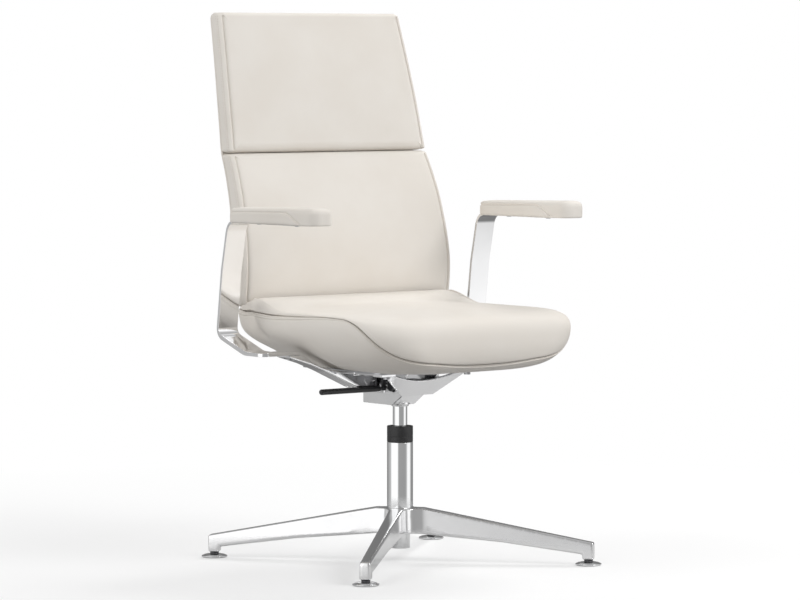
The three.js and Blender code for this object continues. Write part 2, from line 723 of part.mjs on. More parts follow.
// The pad's upholstery: a rounded bar whose top climbs a little to the front.
function armPad() {
  const half = PAD_WIDTH / 2;
  const levels = [[0, 3], [0.18, 0], [0.7, 0], [0.9, 3], [1, 9]];
  const rings = levels.map(([share, inset]) => {
    const plan = roundedPlan(half - inset, PAD_FRONT + inset, PAD_REAR - inset, 19, 11, 4);
    return plan.map(([x, y]) => {
      const forward = (PAD_REAR - y) / (PAD_REAR - PAD_FRONT);
      const bottom = PAD_BOTTOM + 2 * forward;
      const top = PAD_TOP_REAR + (PAD_TOP_FRONT - PAD_TOP_REAR) * forward;
      return [ARM_CENTRE + x, y, bottom + (top - bottom) * share];
    });
  });
  const barHalf = BAR_WIDTH / 2 + GAP;
  const [x0, x1] = [ARM_CENTRE - barHalf, ARM_CENTRE + barHalf];
  const channel = box(x0, x1, -112 - GAP, PAD_REAR + 5, 640, BAR_TOP + GAP);
  const coreRoom = box(x0, x1, PAD_FRONT + 22 - GAP, PAD_REAR - 14 + GAP, 640, 669 + GAP);
  return cut(loft(rings), channel, coreRoom);
}

function armScrew(y) {
  return bolt(2.5, 657.5 - GAP, 668, 4.5, 2).translate([ARM_CENTRE, y, 0]);
}

function armBolt(y) {
  return bolt(3, ARM_BOLT_SEAT, BAR_FOOT_TOP - 1, 5, 3).translate([ARM_BOLT_X, y, 0]);
}

for (const [side, flip] of [['left', (body) => body], ['right', mirrored]]) {
  add(`arm_bar_${side}`, flip(armBar()), polished);
  add(`arm_pad_core_${side}`, flip(armPadCore()), blackPlastic);
  add(`arm_pad_${side}`, flip(armPad()), leather);
  add(`arm_screw_front_${side}`, flip(armScrew(-80)), steel);
  add(`arm_screw_rear_${side}`, flip(armScrew(40)), steel);
  add(`arm_bolt_front_${side}`, flip(armBolt(WING_FRONT + 13)), darkSteel);
  add(`arm_bolt_rear_${side}`, flip(armBolt(WING_REAR - 13)), darkSteel);
}

// ---------- back ----------
// Front face in side view, [z, y], and half width at that height, [z, x].
const BACK_FACE = [
  [489, 161.5], [508, 159.5], [536, 156], [564, 155], [592, 157], [620, 161], [658, 169.5],
  [696, 180], [734, 194.5], [760, 206], [784, 217.5], [835, 229], [886, 240.5], [963, 259.5], [1056, 284.5],
];
const BACK_HALF_WIDTH = [
  [489, 244], [508, 248.5], [564, 248], [620, 245.5], [696, 241.5], [784, 235], [886, 229], [1056, 216],
];
const BACK_DEPTH = [[489, 48], [564, 51], [784, 45], [1056, 41]];

// A slab of the back between two depths behind the face, from z0 to z1.
function backSlab({ from, to, z0, z1, sideInset = 0, softEnds = 0 }) {
  const levels = [z0, ...BACK_FACE.map(([z]) => z).filter((z) => z > z0 + 12 && z < z1 - 12), z1];
  const [tip, end] = [0.3, 1].map((share) => [z0 + softEnds * share, z1 - softEnds * share]);
  const withEnds = softEnds === 0 ? levels
    : [z0, tip[0], end[0], ...levels.slice(1, -1), end[1], tip[1], z1];
  const ends = softEnds === 0 ? {} : {
    0: softEnds * 0.75, 1: softEnds * 0.25,
    [withEnds.length - 1]: softEnds * 0.75, [withEnds.length - 2]: softEnds * 0.25,
  };
  return loft(withEnds.map((z, level) => {
    const face = along(BACK_FACE, z);
    const depth = along(BACK_DEPTH, z);
    const pull = ends[level] ?? 0;
    const front = face + from(depth) + pull;
    const rear = face + to(depth);
    const halfWidth = along(BACK_HALF_WIDTH, z) - sideInset - pull * 0.5;
    const plan = roundedPlan(halfWidth, front, rear, from(depth) === 0 ? 7 : 1.5, 1.5, 2);
    return plan.map(([x, y]) => [x, y, z]);
  }));
}

const cushionDepth = (depth) => depth - REAR_PANEL - CORE - 2 * GAP;
add('back_cushion', backSlab({
  from: () => 0, to: cushionDepth, z0: BACK_BOTTOM, z1: BACK_SEAM - 1, softEnds: 9,
}), leather);
add('head_cushion', backSlab({
  from: () => 0, to: cushionDepth, z0: BACK_SEAM + 1, z1: BACK_TOP, softEnds: 9,
}), leather);

const backBolts = [560, 610];
const backBoltHoles = backBolts.map((z) => alongY(disc(3 + GAP, 150, 260, 12), 0, z));
add('back_core', cut(backSlab({
  from: (depth) => cushionDepth(depth) + GAP,
  to: (depth) => depth - REAR_PANEL - GAP,
  z0: BACK_BOTTOM + 6, z1: BACK_TOP - 8, sideInset: 10,
}), ...backBoltHoles), plywood);
add('back_rear_panel', cut(backSlab({
  from: (depth) => depth - REAR_PANEL, to: (depth) => depth,
  z0: BACK_BOTTOM + 1, z1: BACK_TOP - 1,
}), ...backBoltHoles), leather);

// The flat bracket that joins the carrier's spine to the back.
function backBracket() {
  const half = 38;
  const thickness = 5;
  const under = CARRIER_TOP - 6 - GAP;
  const path = new THREE.Shape();
  path.moveTo(100, under);
  path.lineTo(206, under);
  path.quadraticCurveTo(221, under, 221, under + 18);
  path.lineTo(221, 500);
  path.quadraticCurveTo(221, 520, 216, 530);
  path.quadraticCurveTo(208, 546, 208, 558);
  path.lineTo(213.5, 625);
  path.lineTo(213.5 + thickness, 625);
  path.lineTo(213 + thickness, 558);
  path.quadraticCurveTo(213 + thickness, 546, 221 + thickness, 532);
  path.quadraticCurveTo(221 + thickness, 520, 221 + thickness, 500);
  path.lineTo(221 + thickness, under + 14);
  path.quadraticCurveTo(221 + thickness, under - thickness, 204, under - thickness);
  path.lineTo(100, under - thickness);
  const blank = extruded(path, 2 * half).rotate([90, 0, 90]).translate([-half, 0, 0]);
  const holes = [112, 136].map((y) => disc(3.5 + GAP, 340, 390, 12).translate([0, y, 0]));
  return cut(blank, ...holes, ...backBoltHoles);
}

add('back_bracket', backBracket(), polished);

// ---------- fasteners ----------
for (const [row, y] of [['front', -84], ['rear', 30]]) {
  for (const [side, x] of [['left', 98], ['right', -98]]) {
    add(`seat_bolt_${row}_${side}`,
      bolt(4, CARRIER_TOP - 6 - 0.5 - GAP, SEAT_UNDERSIDE - GAP, 6.5, 4).translate([x, y, 0]), steel);
  }
}
[['front', 112], ['rear', 136]].forEach(([row, y]) => {
  add(`bracket_bolt_${row}`,
    bolt(3.5, CARRIER_TOP - 11 - 2 * GAP, SEAT_UNDERSIDE - GAP, 6, 4).translate([0, y, 0]), steel);
});

chair.position.y = -COLUMN_SETBACK;
chair.updateMatrixWorld(true);

export default chair;
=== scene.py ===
import json
import math

import bpy
import numpy as np
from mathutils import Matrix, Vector
from mathutils.kdtree import KDTree


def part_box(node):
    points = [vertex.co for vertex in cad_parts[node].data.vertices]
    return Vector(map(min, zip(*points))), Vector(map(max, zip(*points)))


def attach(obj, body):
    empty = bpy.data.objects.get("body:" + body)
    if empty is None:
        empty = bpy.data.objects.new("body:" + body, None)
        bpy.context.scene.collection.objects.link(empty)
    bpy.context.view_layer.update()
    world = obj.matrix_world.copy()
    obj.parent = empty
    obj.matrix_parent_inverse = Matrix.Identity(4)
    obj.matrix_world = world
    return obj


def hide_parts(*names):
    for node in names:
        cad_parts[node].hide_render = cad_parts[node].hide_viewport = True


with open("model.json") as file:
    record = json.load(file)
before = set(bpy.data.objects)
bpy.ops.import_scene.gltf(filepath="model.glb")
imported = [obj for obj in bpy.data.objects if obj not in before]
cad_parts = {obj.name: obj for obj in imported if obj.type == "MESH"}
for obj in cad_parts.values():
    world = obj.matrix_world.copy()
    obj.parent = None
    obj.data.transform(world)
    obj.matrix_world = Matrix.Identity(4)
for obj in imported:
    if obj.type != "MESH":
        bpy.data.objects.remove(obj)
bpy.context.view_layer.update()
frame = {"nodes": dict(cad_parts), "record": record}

# Lengths below are millimetres, measured from the column's axis, unless a name says otherwise.
column_low, column_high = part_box("column_tube")
COLUMN_Y = (column_low.y + column_high.y) / 2


# ---------- small helpers ----------
def to_frame(points):
    """Millimetres about the column's axis, as metres in the row frame."""
    return np.asarray(points, float) * 0.001 + np.array([0.0, COLUMN_Y, 0.0])


def smoothstep(value, low, high):
    share = np.clip((np.asarray(value, float) - low) / (high - low), 0.0, 1.0)
    return share * share * (3.0 - 2.0 * share)


def curve_at(curve, at):
    """Reads a curve of (position, value) points with a smooth (monotone cubic) line."""
    xs = np.array([p[0] for p in curve], float)
    ys = np.array([p[1] for p in curve], float)
    width = np.diff(xs)
    slope = np.diff(ys) / width
    tangent = np.zeros_like(ys)
    tangent[1:-1] = np.where(slope[:-1] * slope[1:] > 0,
                             2 * slope[:-1] * slope[1:] / (slope[:-1] + slope[1:] + 1e-12), 0.0)
    tangent[0], tangent[-1] = slope[0], slope[-1]
    at = np.clip(np.asarray(at, float), xs[0], xs[-1])
    i = np.clip(np.searchsorted(xs, at) - 1, 0, len(width) - 1)
    t = (at - xs[i]) / width[i]
    h00, h10 = 2 * t**3 - 3 * t**2 + 1, t**3 - 2 * t**2 + t
    h01, h11 = -2 * t**3 + 3 * t**2, t**3 - t**2
    return (h00 * ys[i] + h10 * width[i] * tangent[i]
            + h01 * ys[i + 1] + h11 * width[i] * tangent[i + 1])


def link(name, mesh, material):
    obj = bpy.data.objects.new(name, mesh)
    bpy.context.scene.collection.objects.link(obj)
    mesh.materials.append(material)
    return obj


def make_piece(name, points, faces, material):
    """A mesh piece from millimetre points, with its faces turned outwards."""
    mesh = bpy.data.meshes.new(name)
    mesh.from_pydata(to_frame(points).tolist(), [], [list(f) for f in faces])
    mesh.validate()
    mesh.update()
    volume = 0.0
    coords = [v.co for v in mesh.vertices]
    for polygon in mesh.polygons:
        first = coords[polygon.vertices[0]]
        for i in range(1, len(polygon.vertices) - 1):
            volume += first.dot(coords[polygon.vertices[i]].cross(coords[polygon.vertices[i + 1]]))
    if volume < 0:
        mesh.flip_normals()
    mesh.shade_smooth()
    return link(name, mesh, material)


def grid_faces(rows, columns, wrap, start=0):
    faces = []
    for r in range(rows - 1):
        for c in range(columns if wrap else columns - 1):
            d = (c + 1) % columns
            a, b = start + r * columns + c, start + r * columns + d
            faces.append((a, b, b + columns, a + columns))
    return faces


def lengths(line):
    """How far along an open line each of its points lies."""
    return np.concatenate([[0.0], np.cumsum(np.linalg.norm(np.diff(line, axis=0), axis=1))])


def resample(points, count):
    """An open line of points, read again at equal steps along its length."""
    points = np.asarray(points, float)
    length = lengths(points)
    at = np.linspace(0.0, length[-1], count)
    return np.stack([np.interp(at, length, points[:, k]) for k in range(points.shape[1])], axis=1)


def smooth_line(points, passes, closed=False):
    """Averages each point with its neighbours; an open line keeps its two ends."""
    points = np.array(points, float)
    for _ in range(passes):
        before, after = np.roll(points, 1, axis=0), np.roll(points, -1, axis=0)
        blended = (before + 2 * points + after) / 4
        if not closed:
            blended[0], blended[-1] = points[0], points[-1]
        points = blended
    return points


NEARLY_STRAIGHT = 0.02
ALMOST_HALF = 0.48


def filleted(points, fillet, steps):
    """A closed 2-D outline with each of its corners rounded by one radius."""
    count = len(points)
    points = [np.array(p, float) for p in points]
    out = []
    for i, corner in enumerate(points):
        before, after = points[i - 1], points[(i + 1) % count]
        to_before, to_after = before - corner, after - corner
        length_before, length_after = np.linalg.norm(to_before), np.linalg.norm(to_after)
        to_before, to_after = to_before / length_before, to_after / length_after
        angle = math.acos(float(np.clip(to_before @ to_after, -1, 1)))
        if angle > math.pi - NEARLY_STRAIGHT:
            out.append(corner)
            continue
        longest = ALMOST_HALF * min(length_before, length_after)
        reach = min(fillet / math.tan(angle / 2), longest)
        radius = reach * math.tan(angle / 2)
        middle = to_before + to_after
        middle /= np.linalg.norm(middle)
        centre = corner + middle * math.hypot(reach, radius)
        first, last = corner + to_before * reach - centre, corner + to_after * reach - centre
        turn = math.atan2(first[0] * last[1] - first[1] * last[0], float(first @ last))
        for k in range(steps + 1):
            a = turn * k / steps
            c, s = math.cos(a), math.sin(a)
            out.append(centre + np.array([first[0] * c - first[1] * s, first[0] * s + first[1] * c]))
    return out


TURNED_SEGMENTS = 96
EDGE_STEPS = 3
ON_AXIS = 1e-6


def turned_piece(name, profile, material, edge, at):
    """A turned part from [radius, height] points, with its sharp edges softened."""
    line = [(max(float(p[0]), 0.0), float(p[1])) for p in filleted(profile, edge, EDGE_STEPS)]
    points, rings = [], []
    for radius, height in line:
        if radius < ON_AXIS:
            rings.append([len(points)] * TURNED_SEGMENTS)
            points.append((at[0], at[1], height))
            continue
        ring = []
        for k in range(TURNED_SEGMENTS):
            a = 2 * math.pi * k / TURNED_SEGMENTS
            ring.append(len(points))
            points.append((at[0] + radius * math.cos(a), at[1] + radius * math.sin(a), height))
        rings.append(ring)
    faces = []
    for i in range(len(rings)):
        low, high = rings[i], rings[(i + 1) % len(rings)]
        if low[0] == low[1] and high[0] == high[1]:
            continue
        for k in range(TURNED_SEGMENTS):
            j = (k + 1) % TURNED_SEGMENTS
            corners = [low[k], low[j], high[j], high[k]]
            corners = [c for n, c in enumerate(corners) if c not in corners[:n]]
            if len(corners) > 2:
                faces.append(corners)
    return make_piece(name, points, faces, material)


# ---------- materials ----------
class Nodes:
    """Shorthand for building the node tree of a material or a world."""

    def __init__(self, owner, place):
        owner.use_nodes = True
        self.tree = owner.node_tree
        self.tree.nodes.clear()
        self.place = self.add("ShaderNodeTexCoord").outputs[place]

    def add(self, kind, **values):
        node = self.tree.nodes.new(kind)
        for key, value in values.items():
            setattr(node, key, value)
        return node

    def join(self, source, target):
        self.tree.links.new(source, target)

    def put(self, value, socket):
        """Joins a node's output to a socket, or sets the socket to a plain value or a colour."""
        if isinstance(value, bpy.types.NodeSocket):
            self.join(value, socket)
        elif isinstance(value, (tuple, list)):
            socket.default_value = (*value, 1.0)
        else:
            socket.default_value = value

    def noise(self, scale, detail=2.0, rough=0.5, place=None, distortion=0.0):
        node = self.add("ShaderNodeTexNoise")
        node.inputs["Scale"].default_value = scale
        node.inputs["Detail"].default_value = detail
        node.inputs["Roughness"].default_value = rough
        node.inputs["Distortion"].default_value = distortion
        self.join(place or self.place, node.inputs["Vector"])
        return node.outputs["Fac"]

    def cells(self, scale, feature="F1"):
        node = self.add("ShaderNodeTexVoronoi", feature=feature)
        node.inputs["Scale"].default_value = scale
        self.join(self.place, node.inputs["Vector"])
        return node.outputs["Distance"]

    def stretched(self, scale):
        node = self.add("ShaderNodeMapping")
        node.inputs["Scale"].default_value = scale
        self.join(self.place, node.inputs["Vector"])
        return node.outputs["Vector"]

    def ranged(self, source, low, high, from_low=0.0, from_high=1.0):
        node = self.add("ShaderNodeMapRange")
        limits = {"From Min": from_low, "From Max": from_high, "To Min": low, "To Max": high}
        for key, value in limits.items():
            node.inputs[key].default_value = value
        self.join(source, node.inputs["Value"])
        return node.outputs["Result"]

    def mixed(self, factor, first, second):
        node = self.add("ShaderNodeMix", data_type="RGBA")
        for key, value in {"Factor": factor, "A": first, "B": second}.items():
            self.put(value, node.inputs[key])
        return node.outputs["Result"]

    def math(self, operation, first, second):
        node = self.add("ShaderNodeMath", operation=operation)
        for socket, value in zip(node.inputs, (first, second)):
            self.put(value, socket)
        return node.outputs["Value"]

    def shown(self, factor, first, second):
        """The first shader, or the second where the factor is 1."""
        node = self.add("ShaderNodeMixShader")
        self.put(factor, node.inputs["Fac"])
        self.join(first, node.inputs[1])
        self.join(second, node.inputs[2])
        return node.outputs["Shader"]


class Surface(Nodes):
    """The node tree of a new material, with one surface shader."""

    def __init__(self, name):
        self.material = bpy.data.materials.new(name)
        super().__init__(self.material, "Object")
        self.output = self.add("ShaderNodeOutputMaterial")
        self.shader = self.add("ShaderNodeBsdfPrincipled")
        self.join(self.shader.outputs["BSDF"], self.output.inputs["Surface"])

    def bump(self, height, strength, distance, normal=None):
        node = self.add("ShaderNodeBump")
        node.inputs["Strength"].default_value = strength
        node.inputs["Distance"].default_value = distance
        self.join(height, node.inputs["Height"])
        if normal is not None:
            self.join(normal, node.inputs["Normal"])
        return node.outputs["Normal"]

    def set(self, **values):
        for key, value in values.items():
            self.put(value, self.shader.inputs[key.replace("_", " ")])


def leather_material(name, light, deep):
    """Smooth, lightly grained upholstery leather."""
    n = Surface(name)
    cloudy = n.noise(9.0, 3.0)
    pores = n.cells(1500.0)
    pebble = n.cells(620.0, "SMOOTH_F1")
    folds = n.noise(42.0, 3.0, 0.45, distortion=0.4)
    colour = n.mixed(n.ranged(cloudy, 0.0, 1.0, 0.35, 0.65), light, deep)
    colour = n.mixed(n.ranged(pores, 0.10, 0.0, 0.0, 0.35), colour, tuple(c * 0.72 for c in deep))
    normal = n.bump(folds, 0.10, 0.0020)
    normal = n.bump(pebble, 0.22, 0.00035, normal)
    normal = n.bump(pores, 0.12, 0.00015, normal)
    n.set(Base_Color=colour, Roughness=n.ranged(n.noise(120.0, 2.0), 0.50, 0.62), Normal=normal)
    n.set(Specular_IOR_Level=0.36, Sheen_Weight=0.05, Sheen_Roughness=0.4)
    return n.material


METAL_GRAIN = (60.0, 60.0, 900.0)
METAL_GRAIN_DEPTH = 0.00002
MIDDLE = (0.3, 0.7)


def metal_material(name, colour, rough_low, rough_high):
    """Polished or drawn metal with a fine directional finish and faint handling marks."""
    n = Surface(name)
    drawn = n.noise(1.0, 3.0, 0.6, n.stretched(METAL_GRAIN))
    smudge = n.noise(14.0, 4.0, 0.6)
    rough = n.mixed(0.5, n.ranged(drawn, rough_low, rough_high, *MIDDLE),
                    n.ranged(smudge, rough_low, rough_high, *MIDDLE))
    tint = n.mixed(n.ranged(smudge, 0.0, 1.0, *MIDDLE), colour, tuple(c * 0.95 for c in colour))
    n.set(Base_Color=tint, Metallic=1.0, Roughness=rough, Normal=n.bump(drawn, 0.15, METAL_GRAIN_DEPTH))
    return n.material


PLASTIC_ROUGH = 0.42


def plastic_material(name, colour):
    """Moulded plastic with a fine spark-eroded texture."""
    n = Surface(name)
    texture = n.noise(1400.0, 2.0, 0.6)
    wear = n.noise(30.0, 4.0, 0.6)
    worn = tuple(min(1.0, c * 1.5 + 0.004) for c in colour)
    tint = n.mixed(n.ranged(wear, 0.0, 1.0, 0.35, 0.7), colour, worn)
    rough = n.ranged(wear, PLASTIC_ROUGH - 0.06, PLASTIC_ROUGH + 0.08)
    n.set(Base_Color=tint, Roughness=rough, Normal=n.bump(texture, 0.25, 0.00012), Specular_IOR_Level=0.5)
    return n.material


def thread_material(name, colour):
    """Twisted sewing thread."""
    n = Surface(name)
    twist = n.add("ShaderNodeTexWave", wave_type="BANDS", bands_direction="DIAGONAL")
    twist.inputs["Scale"].default_value = 900.0
    n.join(n.place, twist.inputs["Vector"])
    tint = n.mixed(twist.outputs["Fac"], tuple(c * 0.8 for c in colour), colour)
    n.set(Base_Color=tint, Roughness=0.7, Normal=n.bump(twist.outputs["Fac"], 0.4, 0.0002))
    n.set(Sheen_Weight=0.2, Sheen_Roughness=0.5)
    return n.material


def wood_material(name):
    """Plywood's grain, long in one direction."""
    n = Surface(name)
    rings = n.noise(1.0, 4.0, 0.6, n.stretched((40.0, 600.0, 6.0)))
    tint = n.mixed(n.ranged(rings, 0.0, 1.0, *MIDDLE), (0.52, 0.36, 0.20), (0.38, 0.24, 0.12))
    n.set(Base_Color=tint, Roughness=0.6, Normal=n.bump(rings, 0.2, 0.0003))
    return n.material


LEATHER = leather_material("cream_leather", (0.770, 0.732, 0.680), (0.745, 0.702, 0.645))
THREAD = thread_material("cream_thread", (0.60, 0.55, 0.47))
POLISHED = metal_material("polished_aluminium", (0.90, 0.90, 0.905), 0.05, 0.10)
CHROME = metal_material("chrome", (0.88, 0.885, 0.89), 0.035, 0.07)
STEEL = metal_material("zinc_steel", (0.50, 0.50, 0.51), 0.28, 0.42)
DARK_STEEL = metal_material("dark_steel", (0.10, 0.10, 0.105), 0.30, 0.45)
PLASTIC = plastic_material("black_plastic", (0.018, 0.018, 0.019))
PLYWOOD = wood_material("plywood")
BY_SLOT = {
    "cream_leather": LEATHER, "polished_aluminium": POLISHED, "chrome": CHROME, "steel": STEEL,
    "dark_steel": DARK_STEEL, "black_plastic": PLASTIC, "plywood": PLYWOOD,
}

# ---------- camera, floor and light ----------
CAMERA_TURN = math.radians(38.0)
CAMERA_DISTANCE = 7.6873
CAMERA_HEIGHT = 0.9718
CAMERA_DIP = math.radians(3.4836)
CAMERA_LENS = 180.56
CAMERA_REACH = 100.0

scene = bpy.context.scene
camera = bpy.data.objects.new("camera", bpy.data.cameras.new("camera"))
scene.collection.objects.link(camera)
camera.location = (-CAMERA_DISTANCE * math.sin(CAMERA_TURN),
                   -CAMERA_DISTANCE * math.cos(CAMERA_TURN) + COLUMN_Y, CAMERA_HEIGHT)
camera.rotation_euler = (math.pi / 2 - CAMERA_DIP, 0.0, -CAMERA_TURN)
camera.data.lens = CAMERA_LENS
camera.data.sensor_width = 36.0
camera.data.clip_end = CAMERA_REACH
scene.camera = camera
scene.view_settings.view_transform = "Standard"
scene.view_settings.look = "None"

# Radius of the paper, how much of its white glows, and between which radii it fades, in metres:
# into the backdrop for the camera, and out of reflections.
FLOOR_RADIUS = 2.4
FLOOR_SIDES = 96
PAPER_GLOW = 0.45
BACKDROP_FADE = (0.7, 1.9)
REFLECTION_FADE = (0.4, 0.85)


def studio_floor():
    """A round sheet of white paper that fades out into the white backdrop."""
    mesh = bpy.data.meshes.new("floor")
    angles = [2 * math.pi * k / FLOOR_SIDES for k in range(FLOOR_SIDES)]
    rim = [(FLOOR_RADIUS * math.cos(a), FLOOR_RADIUS * math.sin(a), 0) for a in angles]
    mesh.from_pydata(rim, [], [tuple(range(FLOOR_SIDES))])
    n = Surface("floor_paper")
    path = n.add("ShaderNodeLightPath")
    paper_white = n.mixed(n.noise(3.0), (0.90, 0.90, 0.90), (0.91, 0.91, 0.91))
    bounced = n.mixed(path.outputs["Is Diffuse Ray"], (0.62, 0.62, 0.62), (0.34, 0.34, 0.34))
    n.set(Base_Color=n.mixed(path.outputs["Is Camera Ray"], bounced, paper_white), Roughness=0.9)
    n.set(Specular_IOR_Level=0.1)
    from_middle = n.add("ShaderNodeVectorMath", operation="LENGTH")
    n.join(n.place, from_middle.inputs[0])

    white = n.add("ShaderNodeEmission").outputs["Emission"]
    clear = n.add("ShaderNodeBsdfTransparent").outputs["BSDF"]
    lit = n.shader.outputs["BSDF"]
    wide = n.ranged(from_middle.outputs["Value"], 0.0, 1.0, *BACKDROP_FADE)
    near = n.ranged(from_middle.outputs["Value"], 0.0, 1.0, *REFLECTION_FADE)
    to_camera = n.shown(wide, n.shown(PAPER_GLOW, lit, white), white)
    surface = n.shown(path.outputs["Is Camera Ray"], n.shown(near, lit, clear), to_camera)
    n.join(surface, n.output.inputs["Surface"])
    link("floor", mesh, n.material)


# The studio's brightness by the angle to the right of the camera, in degrees.
STUDIO_PANELS = [
    (-180, 0.20), (-156, 0.22), (-124, 0.38), (-98, 0.55), (-89, 0.60), (-80, 1.15), (-24, 1.25),
    (-17, 0.72), (-11, 0.38), (40, 0.36), (56, 0.42), (64, 0.75), (71, 1.10), (98, 1.10), (107, 0.50),
    (124, 0.28), (150, 0.26), (180, 0.20),
]
# Where the panels fade out above and below: two heights of the direction, and the grey beyond.
CEILING = (0.55, 0.80, 0.48)
GROUND = (-0.24, -0.62, 0.22)


def studio_world():
    """Pale studio: soft white panels to the left and right of the camera, greyer between them."""
    world = bpy.data.worlds.new("studio")
    scene.world = world
    n = Nodes(world, "Generated")
    split = n.add("ShaderNodeSeparateXYZ")
    n.join(n.place, split.inputs["Vector"])
    x, y, z = split.outputs
    toward = (-math.sin(CAMERA_TURN), -math.cos(CAMERA_TURN))
    right = (math.cos(CAMERA_TURN), -math.sin(CAMERA_TURN))
    near = n.math("ADD", n.math("MULTIPLY", x, toward[0]), n.math("MULTIPLY", y, toward[1]))
    side = n.math("ADD", n.math("MULTIPLY", x, right[0]), n.math("MULTIPLY", y, right[1]))
    turn = n.math("DIVIDE", n.math("ARCTAN2", side, near), 2 * math.pi)
    ramp = n.add("ShaderNodeValToRGB")
    n.join(n.math("ADD", turn, 0.5), ramp.inputs["Fac"])
    elements = ramp.color_ramp.elements
    for angle, _ in STUDIO_PANELS[1:-1]:
        elements.new((angle + 180) / 360)
    for element, (angle, value) in zip(elements, STUDIO_PANELS):
        element.position = (angle + 180) / 360
        element.color = (value, value, value, 1)

    def faded(colour, low, high, level):
        """Goes over from a colour to a plain grey between two heights."""
        return n.mixed(n.ranged(z, 0.0, 1.0, low, high), colour, (level, level, level))

    lit, plain = n.add("ShaderNodeBackground"), n.add("ShaderNodeBackground")
    n.join(faded(faded(ramp.outputs["Color"], *CEILING), *GROUND), lit.inputs["Color"])
    n.put((1, 1, 1), plain.inputs["Color"])
    to_camera = n.add("ShaderNodeLightPath").outputs["Is Camera Ray"]
    seen = n.shown(to_camera, lit.outputs["Background"], plain.outputs["Background"])
    n.join(seen, n.add("ShaderNodeOutputWorld").inputs["Surface"])


def soft_light(name, position, target, size, power):
    data = bpy.data.lights.new(name, "AREA")
    data.shape = "DISK"
    data.size = size
    data.energy = power
    lamp = bpy.data.objects.new(name, data)
    scene.collection.objects.link(lamp)
    lamp.location = position
    aim = np.array(target) - np.array(position)
    lamp.rotation_mode = "QUATERNION"
    lamp.rotation_quaternion = Vector(aim).to_track_quat("-Z", "Y")
    lamp.visible_camera = False
    return lamp


studio_floor()
studio_world()
soft_light("key", (2.6, 0.9, 3.4), (0, 0, 0.3), 1.6, 72.0).visible_glossy = False
soft_light("front_fill", (1.4, -3.8, 2.9), (0, 0, 0.9), 2.2, 95.0)
soft_light("side_fill", (-3.2, 1.2, 3.2), (0, 0, 0.8), 2.0, 30.0).visible_glossy = False


# ---------- sewn skins ----------
def grid_normals(points, known, toward):
    """The directions out of a surface given as rows of closed loops.

    known is the row and column of a point whose direction out is roughly toward.
    """
    across = np.gradient(points, axis=0)
    around = np.roll(points, -1, axis=1) - np.roll(points, 1, axis=1)
    normal = np.cross(around, across)
    normal /= np.maximum(np.linalg.norm(normal, axis=2, keepdims=True), 1e-9)
    return normal if normal[known] @ np.array(toward, float) > 0 else -normal


def mirrored_loop(half):
    """Closes a half outline, from one point on the centre plane to the other, with its mirror image."""
    half = np.asarray(half, float)
    other = half[1:-1][::-1].copy()
    other[:, 0] *= -1
    return np.concatenate([half, other])


class Skin:
    """A closed piece: loops of points, one beside the next, with a grid of points across both ends.

    corner says how many points after a loop's first one the first corner of its end grids lies.
    """

    def __init__(self, loops, corner):
        self.loops = np.array(loops, float)
        self.columns = self.loops.shape[1]
        self.wide = 2 * corner
        self.deep = self.columns // 2 - self.wide
        start = np.arange(self.columns) - corner
        front, rest = start[:self.wide + 1], np.roll(np.arange(self.columns), -corner)
        right = rest[:self.deep + 1]
        rear = rest[self.deep:self.deep + self.wide + 1][::-1]
        left = rest[self.deep + self.wide:2 * self.deep + self.wide + 1][::-1]
        self.border = (front % self.columns, right, rear, left)
        self.ends = [self.across(self.loops[0]), self.across(self.loops[-1])]

    def across(self, ring):
        front, right, rear, left = (ring[side] for side in self.border)
        u = np.linspace(0, 1, self.wide + 1)[None, :, None]
        v = np.linspace(0, 1, self.deep + 1)[:, None, None]
        edges = (1 - v) * front[None] + v * rear[None] + (1 - u) * left[:, None] + u * right[:, None]
        corners = ((1 - u) * (1 - v) * front[0] + u * (1 - v) * front[-1]
                   + (1 - u) * v * rear[0] + u * v * rear[-1])
        return (edges - corners)[1:-1, 1:-1]

    def flat(self):
        return np.concatenate([self.loops.reshape(-1, 3), *(end.reshape(-1, 3) for end in self.ends)])

    def take(self, points):
        count = self.loops.shape[0] * self.columns
        inner = self.ends[0].shape[0] * self.ends[0].shape[1]
        self.loops = points[:count].reshape(self.loops.shape)
        self.ends = [points[count + k * inner:count + (k + 1) * inner].reshape(self.ends[k].shape)
                     for k in (0, 1)]

    def faces(self):
        rows = self.loops.shape[0]
        faces = grid_faces(rows, self.columns, True)
        front, right, rear, left = self.border
        for end in (0, 1):
            first = 0 if end == 0 else (rows - 1) * self.columns
            table = np.zeros((self.deep + 1, self.wide + 1), int)
            inner = (self.deep - 1) * (self.wide - 1)
            numbers = rows * self.columns + end * inner + np.arange(inner)
            table[1:-1, 1:-1] = numbers.reshape(self.deep - 1, -1)
            table[0], table[-1] = front + first, rear + first
            table[:, 0], table[:, -1] = left + first, right + first
            for r in range(self.deep):
                for c in range(self.wide):
                    quad = (table[r, c], table[r, c + 1], table[r + 1, c + 1], table[r + 1, c])
                    faces.append(tuple(int(i) for i in (quad if end else quad[::-1])))
        return faces

    def piece(self, name, material):
        obj = make_piece(name, self.flat(), self.faces(), material)
        smooth = obj.modifiers.new("smooth", "SUBSURF")
        smooth.levels = smooth.render_levels = 1
        return obj


# Rows beside a seam, by how far each lies from it: below it with two rows of stitches, and above.
NEAR_SEAM = [
    -12.5, -10.4, -9.6, -9.0, -8.4, -7.4, -5.6, -4.7, -4.0, -3.3, -2.2, -1.1, 0.0, 1.1, 2.2, 3.8, 6.5, 10.0,
]
SEAM_ROW = NEAR_SEAM.index(0.0)
STITCH_ROWS = (NEAR_SEAM.index(-4.0), NEAR_SEAM.index(-9.0))


